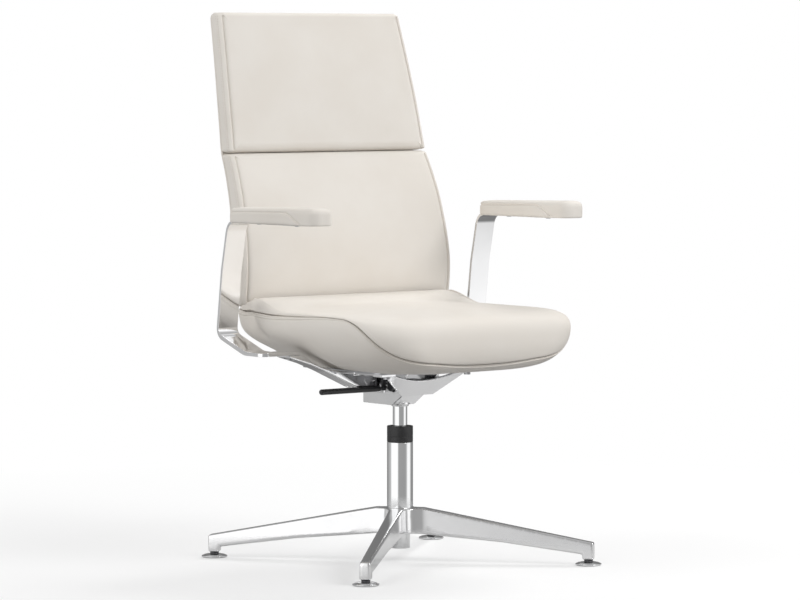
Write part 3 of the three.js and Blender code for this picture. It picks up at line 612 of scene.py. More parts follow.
def seam_rows(profiles, seam, below, above):
    """Rows across a panelled surface, close together at the seam.

    profiles holds each column's line of points, and seam how far along that line its seam lies.
    Gives the rows and how far each point is from the seam.
    """
    rows = below + len(NEAR_SEAM) + above
    points = np.zeros((rows, len(profiles), 3))
    away = np.zeros((rows, len(profiles)))
    for c, line in enumerate(profiles):
        length = lengths(line)
        shrink = min(1.0, seam[c] / (-NEAR_SEAM[0] + 1.0))
        near = seam[c] + np.array([d * (shrink if d < 0 else 1.0) for d in NEAR_SEAM])
        at = np.concatenate([np.linspace(0, near[0], below + 1)[:-1], near,
                             np.linspace(near[-1], length[-1], above + 1)[1:]])
        points[:, c] = np.stack([np.interp(at, length, line[:, k]) for k in range(3)], axis=1)
        away[:, c] = at - seam[c]
    return points, away


def seam_shape(away, depth=2.3, width=2.6, puff=1.8, rows=(4.0, 9.0), row_depth=0.7, lip=0.45):
    """How far leather stands out or in near a seam: drawn in at the seam and under its stitches."""
    amount = -depth * np.exp(-(away / width) ** 2)
    amount += np.where(away > 0, puff * (1 - np.exp(-np.abs(away) / 4.0)) * np.exp(-np.abs(away) / 26.0), 0.0)
    for row in rows:
        amount -= row_depth * np.exp(-((away + row) / 1.0) ** 2)
    middle = sum(rows) / max(len(rows), 1)
    return amount + lip * np.exp(-((away + middle) / 1.8) ** 2)


CLOTH_VOXEL = 6.0
CLOTH_FRAMES = 20
CLOTH_PRESSURE = 4.0
CLOTH_STIFFNESS = 15.0
NEAREST = 8


def blown(skin, held, cap):
    """Blows up a remeshed copy of the skin as cloth, and moves the skin's points the same way.

    held says for points in millimetres how firmly each is held, from 0, free, to 1, fixed. cap is
    the furthest that a point may move.
    """
    form = make_piece("cloth_form", skin.flat(), skin.faces(), LEATHER)
    remesh = form.modifiers.new("remesh", "REMESH")
    remesh.mode = "VOXEL"
    remesh.voxel_size = CLOTH_VOXEL * 0.001
    depsgraph = bpy.context.evaluated_depsgraph_get()
    mesh = bpy.data.meshes.new_from_object(form.evaluated_get(depsgraph))
    form.modifiers.clear()
    form.data = mesh
    rest = np.array([v.co for v in mesh.vertices], float)
    rest_mm = (rest - np.array([0.0, COLUMN_Y, 0.0])) * 1000
    firm = np.clip(held(rest_mm), 0, 1)
    group = form.vertex_groups.new(name="held")
    for i, weight in enumerate(firm):
        if weight > 0.001:
            group.add([i], float(weight), "REPLACE")
    cloth = form.modifiers.new("cloth", "CLOTH")
    settings = cloth.settings
    settings.quality = 4
    settings.mass = 0.4
    settings.tension_stiffness = settings.compression_stiffness = CLOTH_STIFFNESS
    settings.shear_stiffness = CLOTH_STIFFNESS * 0.5
    settings.bending_stiffness = 1.5
    settings.air_damping = 4.0
    settings.use_pressure = True
    settings.uniform_pressure_force = CLOTH_PRESSURE
    settings.vertex_group_mass = "held"
    settings.pin_stiffness = 4.0
    settings.effector_weights.gravity = 0.0
    for frame_number in range(1, CLOTH_FRAMES + 1):
        scene.frame_set(frame_number)
    depsgraph = bpy.context.evaluated_depsgraph_get()
    posed = form.evaluated_get(depsgraph)
    moved = (np.array([v.co for v in posed.to_mesh().vertices], float) - rest) * 1000
    posed.to_mesh_clear()
    scene.frame_set(1)
    moved *= (1 - firm)[:, None]
    size = np.linalg.norm(moved, axis=1)
    moved *= (cap * np.tanh(size / cap) / np.maximum(size, 1e-9))[:, None]
    tree = KDTree(len(rest))
    for i, point in enumerate(rest_mm):
        tree.insert(point, i)
    tree.balance()
    points = skin.flat()
    shift = np.zeros_like(points)
    for i, point in enumerate(points):
        near = tree.find_n(point, NEAREST)
        weights = np.array([1.0 / (d + 1.5) ** 2 for _, _, d in near])
        shift[i] = (moved[[j for _, j, _ in near]] * weights[:, None]).sum(axis=0) / weights.sum()
    skin.take(points + shift)
    bpy.data.objects.remove(form)


STITCH_SPACING = 5.2
STITCH_LENGTH = 3.7
# A stitch from end to end: the share of its length, and of its thread's radius.
STITCH_SHAPE = [(-0.5, 0.35), (-0.38, 0.85), (0.0, 1.0), (0.38, 0.85), (0.5, 0.35)]
THREAD_SIDES = 6


def stitches(name, lines, radius):
    """Sewing stitches, each a small plump length of thread, along lines of (points, normals)."""
    points, faces = [], []
    ring = [(math.cos(a), math.sin(a)) for a in np.linspace(0, 2 * math.pi, THREAD_SIDES, endpoint=False)]
    for line, normals in lines:
        at = lengths(line)
        for start in np.arange(STITCH_SPACING / 2, at[-1] - STITCH_LENGTH / 2, STITCH_SPACING):
            centre, ahead = (np.array([np.interp(s, at, line[:, k]) for k in range(3)])
                             for s in (start, start + 1.0))
            up = np.array([np.interp(start, at, normals[:, k]) for k in range(3)])
            forward = ahead - centre
            forward /= max(np.linalg.norm(forward), 1e-9)
            side = np.cross(up, forward)
            side /= max(np.linalg.norm(side), 1e-9)
            up = np.cross(forward, side)
            first = len(points)
            for share, plump in STITCH_SHAPE:
                lift = 0.15 - 0.5 * share ** 2
                for c, s in ring:
                    points.append(centre + forward * share * STITCH_LENGTH + side * c * radius * plump
                                  + up * (s * radius * 0.8 * plump + lift))
            last = first + (len(STITCH_SHAPE) - 1) * THREAD_SIDES
            faces += grid_faces(len(STITCH_SHAPE), THREAD_SIDES, True, first)
            faces.append(tuple(first + k for k in reversed(range(THREAD_SIDES))))
            faces.append(tuple(last + k for k in range(THREAD_SIDES)))
    placed(make_piece(name, np.array(points), faces, THREAD), "seat", slot="cream_leather")


def placed(piece, body, *nodes, slot):
    """Rides a piece on its body, in place of its CAD nodes if there are any."""
    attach(piece, body)
    if nodes:
        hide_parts(*nodes)
    return piece


def upholstered(skin, name, fill, *nodes):
    """A padded leather piece on the seat's body."""
    piece = placed(skin.piece(name, LEATHER), "seat", *nodes, slot="cream_leather")
    return piece


def plan_outline(steps, half_width, front, rear, front_radius, rear_radius):
    """A rounded rectangle in plan, from the front's middle round to the rear's middle and back.

    steps counts points along the front straight, front corner, side, rear corner and rear straight.
    """
    m, k, n, j, p = steps
    front_turn = np.linspace(-math.pi / 2, 0, k + 1)
    rear_turn = np.linspace(0, math.pi / 2, j + 1)
    fx, fy = half_width - front_radius, front + front_radius
    rx, ry = half_width - rear_radius, rear - rear_radius
    parts = [
        np.stack([np.linspace(0, fx, m + 1), np.full(m + 1, front)], 1)[:-1],
        np.stack([fx + front_radius * np.cos(front_turn), fy + front_radius * np.sin(front_turn)], 1)[:-1],
        np.stack([np.full(n + 1, half_width), np.linspace(fy, ry, n + 1)], 1)[:-1],
        np.stack([rx + rear_radius * np.cos(rear_turn), ry + rear_radius * np.sin(rear_turn)], 1)[:-1],
        np.stack([np.linspace(rx, 0, p + 1), np.full(p + 1, rear)], 1),
    ]
    return mirrored_loop(np.concatenate(parts))


# ---------- seat ----------
# Hull of the seat, level by level: height, half width, front, rear, rear corner radius.
SEAT_LEVELS = np.array([
    (375.6, 134, -188, 140, 48), (381, 166, -232, 166, 66), (388, 192, -251, 181, 76),
    (398, 211, -262, 194, 80), (412, 227, -268.5, 203, 76), (430, 239, -271.5, 210, 64),
    (450, 247, -270.5, 214, 54), (469, 250, -264, 216, 48), (480, 247, -251, 214, 48),
    (485.5, 238, -233, 200, 48),
])
SEAT_FRONT_RADIUS = 88
SEAT_RIM = (250, -270, 216, SEAT_FRONT_RADIUS, 48)
SEAT_STEPS = (20, 14, 40, 14, 20)
ROWS_BELOW, ROWS_ABOVE = 16, 12
SEAT_CORNER = SEAT_STEPS[0] + SEAT_STEPS[1] // 2
# Height of the seam by the distance along the outline from the front's middle.
SEAT_SEAM = [
    (0, 394), (60, 395), (118, 398), (155, 402), (187, 405), (223, 415), (246, 431), (265, 450),
    (280, 469), (300, 483), (384, 484.5), (484, 482), (564, 481), (614, 484), (727, 487), (929, 487),
]
BACK_CORNER = 22.0
BACK_BOTTOM = 489.0


def seat_rise(x, y, z):
    """The rim climbs towards the back, and the lower flanks are drawn up over the arms."""
    rim = 24 * smoothstep(y, 40, 145) * np.clip((z - 450) / 35, 0, 1)
    flank = 16 * smoothstep(y, -70, 30) * smoothstep(np.abs(x), 130, 190)
    return rim + flank * np.clip((450 - z) / 50, 0, 1)


def under_back(points):
    """Keeps the seat's rear edge below the back, whose lower corners are rounded."""
    x, y, z = points[..., 0], points[..., 1], points[..., 2]
    out = np.clip(np.abs(x) - (244 - BACK_CORNER), 0, BACK_CORNER)
    roof = BACK_BOTTOM + BACK_CORNER - np.sqrt(BACK_CORNER**2 - out**2) - 2.2
    roof = np.minimum(roof, 508 - 0.55 * np.clip(y - 150, 0, None))
    lowered = np.minimum(z, roof)
    points[..., 2] = z + (lowered - z) * smoothstep(y, 152.6, 156.5)
    return points


def seat_outer():
    """The seat's whole outer surface as rows from its underside to its crown."""
    t = lengths(SEAT_LEVELS[:, :2])
    samples = np.linspace(0, t[-1], 120)
    z, half, front, rear, radius = (curve_at(list(zip(t, column)), samples) for column in SEAT_LEVELS.T)
    rings = []
    for i in range(len(samples)):
        plan = plan_outline(SEAT_STEPS, half[i], front[i], rear[i], SEAT_FRONT_RADIUS, radius[i])
        height = z[i] + seat_rise(plan[:, 0], plan[:, 1], z[i])
        rings.append(np.column_stack([plan, height]))
    profiles = np.array(rings).transpose(1, 0, 2)
    for c in range(len(profiles)):
        profiles[c] = smooth_line(profiles[c], 16)
    widest = plan_outline(SEAT_STEPS, *SEAT_RIM)
    around = lengths(widest)
    whole = around[-1] + np.linalg.norm(widest[-1] - widest[0])
    around = np.minimum(around, whole - around)
    seam = np.zeros(len(profiles))
    for c, line in enumerate(profiles):
        length = lengths(line)
        height = float(curve_at(SEAT_SEAM, around[c]))
        seam[c] = np.interp(height, np.maximum.accumulate(line[:, 2]), length)
    seam = smooth_line(seam[:, None], 3, closed=True)[:, 0]
    points, away = seam_rows(profiles, seam, ROWS_BELOW, ROWS_ABOVE)
    return points, away, 1 - 0.5 * smoothstep(around, 500, 640)


def seat_crown():
    """The rings on top of the seat: under the back at the rear, then up its face."""
    rings = []
    for half, front, rear, radius, height in (
            (237.3, -232, 186, 40, 485.7), (236.6, -231, 170, 28, 485.9), (236, -230, 157.0, 16, 486.1),
            (231, -222, 152.4, 13, 487.6), (222, -209, 149, 13, 489.0)):
        plan = plan_outline(SEAT_STEPS, half, front, rear, SEAT_FRONT_RADIUS - 4, radius)
        rise = 20.5 * smoothstep(plan[:, 1], 40, 148)
        rings.append(np.column_stack([plan, height + rise]))
    return np.array(rings)


def seat_crease(points, normals):
    """A soft fold runs down each rear corner, where the leather is drawn under the back."""
    line = np.array([(249, 155, 494), (249, 140, 470), (245, 127, 447), (243, 115, 439)], float)
    for side in (-1, 1):
        path = resample(line * np.array([side, 1, 1]), 24)
        gap = np.linalg.norm(points[..., None, :] - path, axis=-1).min(axis=-1)
        points = points + normals * (-6.5 * np.exp(-(gap / 9.0) ** 2))[..., None]
    return points


# Outer rows that the hidden inner faces of the seat's two pieces follow, and how far inside them.
INNER_ROWS = (0, 4, 8, 12, 16, 20, 24)
SHELL_THICKNESS = 9.2
TOP_INSET = 9.6


def build_seat():
    outer, away, firmness = seat_outer()
    crown = seat_crown()
    split = ROWS_BELOW + SEAM_ROW
    whole = under_back(np.concatenate([outer, crown]))
    normals = grid_normals(whole, (2, 0), (0, 0, -1))
    inner_rows = [*INNER_ROWS, split]
    count = len(outer)

    def inside(inset):
        return whole[inner_rows] - normals[inner_rows] * inset

    top = Skin(np.concatenate([inside(TOP_INSET), whole[split:]]), SEAT_CORNER)
    x, y = top.ends[1][..., 0], top.ends[1][..., 1]
    rim = smoothstep(222 - np.abs(x), 0, 70) * smoothstep(y + 209, 0, 80)
    top.ends[1][..., 2] += 2.2 * rim * smoothstep(150 - y, 0, 60)

    def held(p):
        inner = smoothstep(244 - np.abs(p[:, 0]), 2, 46) * smoothstep(p[:, 1] + 262, 6, 60)
        return 1 - inner * smoothstep(148 - p[:, 1], 0, 40) * smoothstep(p[:, 2], 468, 484)

    blown(top, held, cap=7.0)
    rows = len(inner_rows)
    n = grid_normals(top.loops, (-3, 5), (0, 0, 1))
    shape = np.zeros(top.loops.shape[:2])
    shape[rows:rows + count - split] = seam_shape(away[split:]) * firmness
    top.loops = seat_crease(top.loops + n * shape[..., None], n)
    top.loops = under_back(top.loops)
    upholstered(top, "seat_top_leather", 0.85, "seat_cushion")

    bowl = Skin(np.concatenate([inside(SHELL_THICKNESS), whole[:split + 1][::-1]]), SEAT_CORNER)
    n = grid_normals(bowl.loops, (-2, 0), (0, 0, -1))
    outer_side = slice(rows, None)
    shape = (seam_shape(away[:split + 1], puff=0.0, row_depth=0.9, lip=1.2) * firmness)[::-1]
    bowl.loops[outer_side] = bowl.loops[outer_side] + n[outer_side] * (shape - 0.05)[..., None]
    bowl.loops = seat_crease(bowl.loops, n)
    upholstered(bowl, "seat_shell_leather", 0.9, "seat_shell")
    lines = []
    for distance_row in STITCH_ROWS:
        row = rows + split - (ROWS_BELOW + distance_row)
        loop, up = bowl.loops[row], n[row]
        lines.append((np.concatenate([loop, loop[:1]]), np.concatenate([up, up[:1]])))
    stitches("seat_seam_stitches", lines, 0.55)


# ---------- back ----------
# Front face in side view (height, place), half width and depth by height.
BACK_FACE = [
    (489, 161.5), (508, 159.5), (536, 156), (564, 155), (592, 157), (620, 161), (658, 169.5),
    (696, 180), (734, 194.5), (760, 206), (784, 217.5), (835, 229), (886, 240.5), (963, 259.5), (1056, 284.5),
]
BACK_HALF_WIDTH = [
    (489, 244), (508, 248.5), (564, 248), (620, 245.5), (696, 241.5), (784, 235), (886, 229), (1056, 216),
]
BACK_DEPTH = [(489, 48), (564, 51), (784, 45), (1056, 41)]
BACK_TOP = 1055.5
BACK_SEAM = 784.0
REAR_PANEL = 6.0
BACK_STEPS = (28, 6, 36, 6, 28)
REAR_STEPS = (28, 6, 64, 6, 28)


def back_outline(z0, z1, low_radius, high_radius, steps, inset=0.0):
    """The outline of a slab of the back seen from the front, drawn in by an inset, as [x, z] points."""
    m, k, n, _, p = steps
    turn = np.linspace(0, math.pi / 2, k + 1)
    low_radius, high_radius = (max(radius - inset, 3.0) for radius in (low_radius, high_radius))
    z0, z1 = z0 + inset, z1 - inset
    low_half, high_half = (float(curve_at(BACK_HALF_WIDTH, z)) - inset
                           for z in (z0 + low_radius, z1 - high_radius))
    side = np.linspace(z0 + low_radius, z1 - high_radius, n + 1)
    parts = [
        np.stack([np.linspace(0, low_half - low_radius, m + 1), np.full(m + 1, z0)], 1)[:-1],
        np.stack([low_half - low_radius + low_radius * np.sin(turn),
                  z0 + low_radius - low_radius * np.cos(turn)], 1)[:-1],
        np.stack([curve_at(BACK_HALF_WIDTH, side) - inset, side], 1)[:-1],
        np.stack([high_half - high_radius + high_radius * np.cos(turn),
                  z1 - high_radius + high_radius * np.sin(turn)], 1)[:-1],
        np.stack([np.linspace(high_half - high_radius, 0, p + 1), np.full(p + 1, z1)], 1),
    ]
    return mirrored_loop(np.concatenate(parts))


def outward_of(outline):
    ahead = np.roll(outline, -1, axis=0) - np.roll(outline, 1, axis=0)
    outward = np.stack([ahead[:, 1], -ahead[:, 0]], 1)
    return outward / np.linalg.norm(outward, axis=1, keepdims=True)


def on_back(flat, depth):
    """Points of a front view, placed so far behind the back's front face."""
    return np.column_stack([flat[:, 0], curve_at(BACK_FACE, flat[:, 1]) + depth, flat[:, 1]])


def rounded_rows(radius, count):
    """A quarter round from the side to the front, as (inset, depth) steps."""
    angles = np.linspace(0, math.pi / 2, count)
    return [(radius * (1 - math.cos(a)), radius * (1 - math.sin(a))) for a in angles]


# The sewn front edge of a cushion: border, its rounded lip, the seam's groove, and the panel.
SEWN_EDGE = [
    (-4.0, 24), (-5.0, 18), (-5.5, 15.2), (-4.4, 14), (-5.6, 12.8), (-5.7, 11.5), (-5.5, 10.2), (-4.4, 9),
    (-5.0, 7.8), (-4.0, 6), (-2.7, 4.2), (-1.0, 2.9), (0.7, 2.3), (2.1, 2.9), (3.1, 4.2), (3.9, 5.8),
    (4.8, 3.8), (6.2, 2.1), (8.5, 0.9), (12, 0.25), (18, 0.0), (24, 0.0),
]
STITCHED = [i for i, (inset, depth) in enumerate(SEWN_EDGE) if depth in (14, 9)]


def plain_edge(radius):
    """The edge of a cushion against its neighbour, with as many rows as a sewn one."""
    straight = [(0, 34), (0, 28)] + [(0, radius + d) for d in (2.5, 0.8)]
    turn = rounded_rows(radius, len(SEWN_EDGE) - len(straight) - 3)
    innermost = SEWN_EDGE[-1][0]
    return straight + turn + [(radius + (innermost - radius) * share, 0.0) for share in (1 / 3, 2 / 3, 1)]


def back_slab(name, node, z0, z1, low_radius, high_radius, plain_low, plain_high, cap, also=()):
    """One of the back's two cushions. An end with a plain radius is rounded over, without a sewn edge."""
    def outline_at(inset):
        return back_outline(z0, z1, low_radius, high_radius, BACK_STEPS, inset)

    outline = outline_at(0.0)
    outward = outward_of(outline)
    m, k = BACK_STEPS[0], BACK_STEPS[1]
    beside = smoothstep(np.abs(outward[:, 0]), 0.3, 0.9)
    ends = [(radius, smoothstep(toward, 0.25, 0.9))
            for radius, toward in ((plain_low, -outward[:, 1]), (plain_high, outward[:, 1])) if radius]
    plain = sum(weight for _, weight in ends)
    depth = curve_at(BACK_DEPTH, outline[:, 1]) - REAR_PANEL - 0.4
    def crown(x, z):
        """How far the filling swells the face: least at the edges, whichever is nearest."""
        swell = 2.6
        for inside in (curve_at(BACK_HALF_WIDTH, z) - np.abs(x), z - z0, z1 - z):
            swell = swell * (1 - np.exp(-np.clip(inside, 0, None) / 35))
        return -swell

    bulge = outline + outward * (4.0 * beside * (1 - plain))[:, None]
    rings = [on_back(outline_at(inset), depth - back)
             for inset, back in ((14, 0), (5, 0), (1.6, 0.4), (0.4, 1.6))] + [on_back(bulge, depth - 3.4)]
    for row, (inset, front) in enumerate(SEWN_EDGE):
        flat = outline_at(inset) if inset >= 0 else outline - outward * (inset * beside)[:, None]
        flat, level = flat * (1 - plain[:, None]), front * (1 - plain)
        for radius, weight in ends:
            inset_plain, front_plain = plain_edge(radius)[row]
            flat = flat + outline_at(inset_plain) * weight[:, None]
            level = level + front_plain * weight
        rings.append(on_back(flat, level + crown(flat[:, 0], flat[:, 1])))
    skin = Skin(rings, m + k // 2)
    end = skin.ends[1]
    end[..., 1] = curve_at(BACK_FACE, end[..., 2]) + crown(end[..., 0], end[..., 2])

    def held(p):
        depth_in = p[:, 1] - curve_at(BACK_FACE, p[:, 2])
        side_in = curve_at(BACK_HALF_WIDTH, p[:, 2]) - np.abs(p[:, 0])
        free = (1 - smoothstep(depth_in, 9, 17)) * smoothstep(side_in, 9, 46)
        return 1 - free * smoothstep(p[:, 2] - z0, 7, 44) * smoothstep(z1 - p[:, 2], 7, 44)

    blown(skin, held, cap=cap)
    upholstered(skin, name, 0.85, node, *also)
    normals = np.concatenate([outward[:, :1], np.zeros((len(outward), 1)), outward[:, 1:]], axis=1)
    lines = []
    for row in STITCHED:
        loop = skin.loops[5 + row]
        sewn = np.where(plain < 0.05)[0]
        gap = np.where(np.diff(sewn) > 1)[0]
        runs = [sewn] if len(gap) == 0 else [np.concatenate([sewn[gap[0] + 1:], sewn[:gap[0] + 1]])]
        for run in runs:
            if len(run) > 2:
                lines.append((loop[run], normals[run]))
    stitches(name + "_stitches", lines, 0.6)


def rear_panel():
    """The padded panel behind the back, with a sewn line inside its edge."""
    rings = []
    for inset, back in ((6, 5.6), (2, 5.6), (0.6, 5.2), (0, 4.2), (0, 2.6), (0.5, 1.2), (1.8, 0.4), (4, 0.2),
                        (8, 0.2), (10, 0.3), (11, 1.2), (11.6, 2.2), (12.2, 1.2), (13.2, 0.3), (15.5, 0.1),
                        (19, 0.0), (24, 0.0)):
        flat = back_outline(BACK_BOTTOM + 0.6, BACK_TOP - 0.4, BACK_CORNER, 14, REAR_STEPS, inset)
        rings.append(on_back(flat, curve_at(BACK_DEPTH, flat[:, 1]) - back))
    skin = Skin(np.array(rings), REAR_STEPS[0] + REAR_STEPS[1] // 2)
    end = skin.ends[1]
    x, z = np.abs(end[..., 0]), end[..., 2]
    inside = np.minimum(curve_at(BACK_HALF_WIDTH, z) - x, np.minimum(z - 489, BACK_TOP - z))
    bracket = (1 - smoothstep(x, 40, 90)) * (1 - smoothstep(z, 630, 690))
    swell = 4.5 * smoothstep(inside, 20, 90) * (1 - bracket)
    end[..., 1] = curve_at(BACK_FACE, z) + curve_at(BACK_DEPTH, z) + swell
    upholstered(skin, "back_rear_leather", 0.95, "back_rear_panel")


# ---------- arm pads ----------
PAD_LOW, PAD_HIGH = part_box("arm_pad_left")
PAD_X = (PAD_LOW.x + PAD_HIGH.x) * 500
PAD_HALF = (PAD_HIGH.x - PAD_LOW.x) * 500
PAD_FRONT, PAD_REAR = ((v - COLUMN_Y) * 1000 for v in (PAD_LOW.y, PAD_HIGH.y))
PAD_BOTTOM = PAD_LOW.z * 1000
PAD_TOP_FRONT = PAD_HIGH.z * 1000
PAD_TOP_REAR = PAD_TOP_FRONT - 6
PAD_STEPS = (5, 6, 60, 6, 5)
PAD_FRONT_RADIUS = 19
PAD_REAR_RADIUS = 11
PAD_ROUND = 9.0
# The lower edge of the pad's side, as steps inwards and up.
PAD_LOWER_EDGE = [(2.6, 0.0), (1.0, 0.5), (0.2, 1.8), (0, 3.4)]
# The pad's seam: how far above its bottom it starts and below its top it runs, and the places from
# front to rear between which it climbs and fades in.
PAD_SEAM_ABOVE = 1.5
PAD_SEAM_BELOW = 7.0
PAD_SEAM_CLIMB = (-128, -70)
PAD_SEAM_START = (-125, -112)
BAR_CHANNEL = 22.7
BAR_ROOF = 663.5
CORE_ROOF = 669.7


def arm_pad(side_name, side):
    plan = plan_outline(PAD_STEPS, PAD_HALF, PAD_FRONT, PAD_REAR, PAD_FRONT_RADIUS, PAD_REAR_RADIUS)
    forward = (PAD_REAR - plan[:, 1]) / (PAD_REAR - PAD_FRONT)
    bottom = PAD_BOTTOM + 2 * forward
    bottom = np.where((plan[:, 1] > PAD_REAR - 0.5) & (np.abs(plan[:, 0]) < BAR_CHANNEL), BAR_ROOF, bottom)
    top = PAD_TOP_REAR + (PAD_TOP_FRONT - PAD_TOP_REAR) * forward
    profiles = []
    outward = outward_of(plan)
    for c, (x, y) in enumerate(plan):
        height = top[c] - bottom[c]
        line = [(inset, bottom[c] + up) for inset, up in PAD_LOWER_EDGE]
        line += [(0.0, bottom[c] + height * share) for share in (0.3, 0.45, 0.6)]
        for a in np.linspace(0, math.pi / 2, 9):
            line.append((PAD_ROUND * (1 - math.cos(a)), top[c] - PAD_ROUND + PAD_ROUND * math.sin(a)))
        points = [(x - outward[c, 0] * inset, y - outward[c, 1] * inset, z) for inset, z in line]
        profiles.append(resample(np.array(points), 60))
    profiles = np.array(profiles)
    seam = np.zeros(len(plan))
    weight = np.zeros(len(plan))
    for c, line in enumerate(profiles):
        length = lengths(line)
        low, high = bottom[c] + PAD_SEAM_ABOVE, top[c] - PAD_SEAM_BELOW
        level = low + (high - low) * smoothstep(plan[c, 1], *PAD_SEAM_CLIMB)
        seam[c] = np.interp(level, line[:, 2], length)
        weight[c] = smoothstep(plan[c, 1], *PAD_SEAM_START)
    points, away = seam_rows(profiles, seam, 3, 4)
    cavity = plan_outline(PAD_STEPS, BAR_CHANNEL, PAD_FRONT + 21.5, PAD_REAR - 13.5, 3, 3)
    inner = [np.column_stack([cavity, np.full(len(cavity), CORE_ROOF)]),
             np.column_stack([cavity, np.maximum(bottom, PAD_BOTTOM)])]
    skin = Skin(np.concatenate([np.array(inner), points]), PAD_STEPS[0] + PAD_STEPS[1] // 2)
    end = skin.ends[1]
    across = np.clip(np.abs(end[..., 0]) / PAD_HALF, 0, 1)
    end[..., 2] += 1.6 * (1 - across**2) * smoothstep(end[..., 1], PAD_FRONT, PAD_FRONT + 24) \
        * smoothstep(-end[..., 1], -PAD_REAR, -PAD_REAR + 24)
    normals = grid_normals(skin.loops, (8, 40), (skin.loops[8, 40, 0], 0, 0))
    shape = np.zeros(skin.loops.shape[:2])
    shape[2:] = seam_shape(away, depth=2.6, width=1.5, puff=0.9, rows=(3.8,), row_depth=0.7) * weight[None, :]
    skin.loops = skin.loops + normals * shape[..., None]
    for part in (skin.loops, *skin.ends):
        part[..., 0] += PAD_X
        part[..., 0] *= side
    upholstered(skin, f"arm_pad_leather_{side_name}", 0.9, f"arm_pad_{side_name}")


build_seat()
back_slab("back_leather", "back_cushion", BACK_BOTTOM, BACK_SEAM - 0.5, BACK_CORNER, 7, 0, 9, 6.0,
          also=("back_core",))
back_slab("head_leather", "head_cushion", BACK_SEAM + 0.5, BACK_TOP, 7, 9, 20, 7, 6.0)
rear_panel()
for side_name, side in (("left", 1), ("right", -1)):
    arm_pad(side_name, side)


# ---------- metal and plastic parts ----------
WELD_REACH = 0.00002
FLAT_WITHIN = math.radians(1.5)
SHARP_OVER = math.radians(28)


def finished(name, material, bevel, segments):
    """Gives a CAD node its finish and small rounded edges, and returns it with the edges' modifier."""
    node = frame["nodes"][name]
    node.data.materials.clear()
    node.data.materials.append(material)
    weld = node.modifiers.new("weld", "WELD")
    weld.merge_threshold = WELD_REACH
    flat = node.modifiers.new("flat", "DECIMATE")
    flat.decimate_type = "DISSOLVE"
    flat.angle_limit = FLAT_WITHIN
    edges = node.modifiers.new("edges", "BEVEL")
    edges.width = bevel * 0.001
    edges.segments = segments
    edges.limit_method = "ANGLE"
    edges.angle_limit = SHARP_OVER
    return node, edges


def dressed(name, material, bevel):
    """A part whose edges are softened a little."""
    node, edges = finished(name, material, bevel, 2)
    node.data.shade_smooth()
    edges.harden_normals = True
    edges.use_clamp_overlap = True
    weighted = node.modifiers.new("normals", "WEIGHTED_NORMAL")
    weighted.keep_sharp = True
    weighted.weight = 80


def cast(name, material, voxel, passes, bevel):
    """A casting, with every edge and inner corner rounded."""
    node, edges = finished(name, material, bevel, 3)
    edges.use_clamp_overlap = name != "star_base"
    fine = node.modifiers.new("fine", "REMESH")
    fine.mode = "VOXEL"
    fine.voxel_size = voxel * 0.001
    fine.use_smooth_shade = True
    soft = node.modifiers.new("soft", "SMOOTH")
    soft.factor = 0.5
    soft.iterations = passes


def centre_of(node):
    low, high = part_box(node)
    return (low.x + high.x) * 500, ((low.y + high.y) / 2 - COLUMN_Y) * 1000


def round_part(node, name, slot, edge, profile):
    """A turned piece in place of a CAD node, about the node's own upright axis."""
    piece = turned_piece(name, profile, BY_SLOT[slot], edge, centre_of(node))
    placed(piece, BODY_OF[node], node, slot=slot)


def span(node):
    """A node's radius, bottom and top."""
    low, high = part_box(node)
    return (high.x - low.x) * 500, low.z * 1000, high.z * 1000


SLOT_OF = {subpart["node"]: subpart["material_slot"] for subpart in frame["record"]["subparts"]}
BODY_OF = {node: body for body, nodes in frame["record"]["behaviour"]["bodies"].items() for node in nodes}
# Voxel size, smoothing passes and edge radius of each casting, and the edge radius of other parts.
CASTINGS = {"star_base": (1.5, 16, 2.2), "seat_carrier": (1.1, 6, 1.2), "tilt_housing": (1.0, 5, 0.9)}
BEVELS = {
    "back_bracket": 1.0, "housing_cover": 0.5, "arm_bar_left": 0.9, "arm_bar_right": 0.9, "seat_plate": 0.4,
    "lever_bracket": 0.4, "lever_stem": 0.5, "arm_pad_core_left": 0.5, "arm_pad_core_right": 0.5,
}
SMALL_BEVEL = 0.3
# Radii about the column between which the base's fillets set in, and those between which they end.
FILLET_FROM = (27.5, 30.5)
FILLET_TO = (48, 100)
FILLET_PASSES = 260


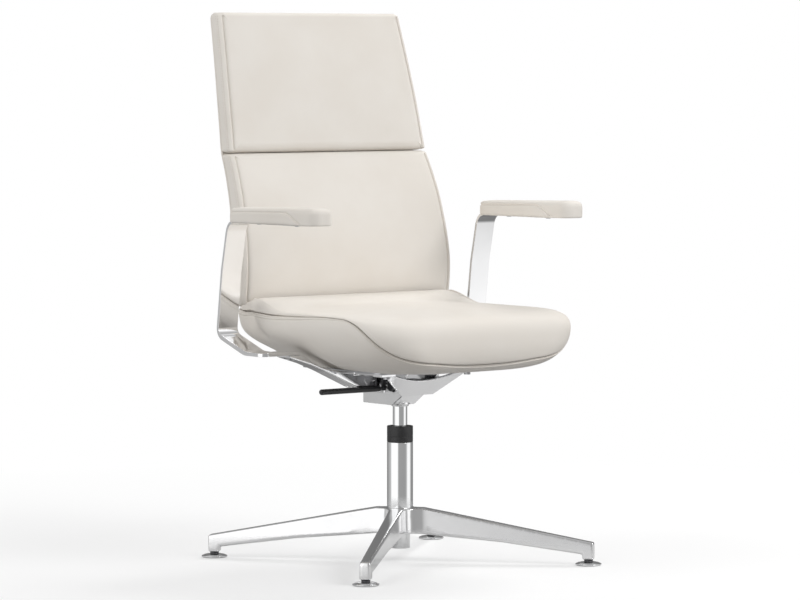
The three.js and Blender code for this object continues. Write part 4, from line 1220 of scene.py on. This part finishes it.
def filleted_base():
    """The star base as one casting, with wide hollow fillets where its legs meet the hub."""
    node = frame["nodes"]["star_base"]
    depsgraph = bpy.context.evaluated_depsgraph_get()
    mesh = bpy.data.meshes.new_from_object(node.evaluated_get(depsgraph))
    place = np.array(node.matrix_world)
    points = np.array([v.co for v in mesh.vertices], float) @ place[:3, :3].T + place[:3, 3]
    points = (points - np.array([0.0, COLUMN_Y, 0.0])) * 1000
    faces = [tuple(face.vertices) for face in mesh.polygons]
    ends = np.array([edge.vertices[:] for edge in mesh.edges])
    ends = np.concatenate([ends, ends[:, ::-1]])
    upright = np.abs([v.normal.z for v in mesh.vertices]) < 0.6
    ends = ends[~upright[ends[:, 0]] | upright[ends[:, 1]]]
    degree = np.maximum(np.bincount(ends[:, 0], minlength=len(points)), 1)
    from_axis = np.hypot(points[:, 0], points[:, 1])
    soft = 0.5 * (1 - smoothstep(from_axis, *FILLET_TO)) * smoothstep(from_axis, *FILLET_FROM)
    for _ in range(FILLET_PASSES):
        for axis in (0, 1):
            near = np.bincount(ends[:, 0], points[ends[:, 1], axis], minlength=len(points)) / degree
            points[:, axis] += (near - points[:, axis]) * soft
    piece = make_piece("star_base_fine", points, faces, POLISHED)
    placed(piece, "base", "star_base", slot="polished_aluminium")


def column_parts():
    radius, low, high = span("column_tube")
    round_part("column_tube", "column_tube_fine", "chrome", 0.8, [
        (radius - 5.4, low), (radius, low), (radius, high), (radius - 3, high), (radius - 3, low + 38),
        (radius - 5.4, low + 38)])
    radius, low, high = span("column_lower_sleeve")
    floor = low + 5
    round_part("column_lower_sleeve", "lower_sleeve_fine", "chrome", 0.7, [
        (5.3, floor), (radius - 4, floor), (radius - 4, low), (radius, low), (radius, high),
        (radius - 3, high), (radius - 3, floor + 5), (5.3, floor + 5)])
    radius, low, high = span("column_collar")
    shoulder = high - 31 + 0.3
    round_part("column_collar", "column_collar_fine", "black_plastic", 1.1, [
        (14.3, low), (radius - 3.3, low), (radius - 3.3, shoulder), (radius, shoulder),
        (radius, shoulder + 10), (radius - 0.5, shoulder + 10.7), (radius, shoulder + 11.4),
        (radius, high), (14.3, high)])
    radius, low, high = span("gas_cylinder")
    round_part("gas_cylinder", "gas_cylinder_fine", "chrome", 0.4, [
        (radius - 2, low), (radius, low), (radius, high - 21), (radius - 1, high), (3.3, high),
        (3.3, high - 37), (radius - 2, high - 37)])


def glide_parts():
    for node in BODY_OF:
        if node.startswith("glide_foot"):
            radius, low, high = span(node)
            round_part(node, node + "_fine", "chrome", 0.5, [
                (0, low), (radius - 1.5, low), (radius, low + 1.4), (radius, low + 3.4),
                (radius - 3, low + 4.6), (radius - 5, high - 1.0), (radius - 9, high - 0.2),
                (radius - 12, high), (0, high)])
        if node.startswith("glide_stem"):
            radius, low, high = span(node)
            neck = low + 3.9
            round_part(node, node + "_fine", "dark_steel", 0.6, [
                (0, low), (radius, low), (radius, neck), (5, neck), (5, high), (0, high)])


column_parts()
glide_parts()
for node_name in frame["nodes"]:
    finish = BY_SLOT[SLOT_OF[node_name]]
    if node_name in CASTINGS:
        cast(node_name, finish, *CASTINGS[node_name])
    else:
        dressed(node_name, finish, BEVELS.get(node_name, SMALL_BEVEL))
filleted_base()
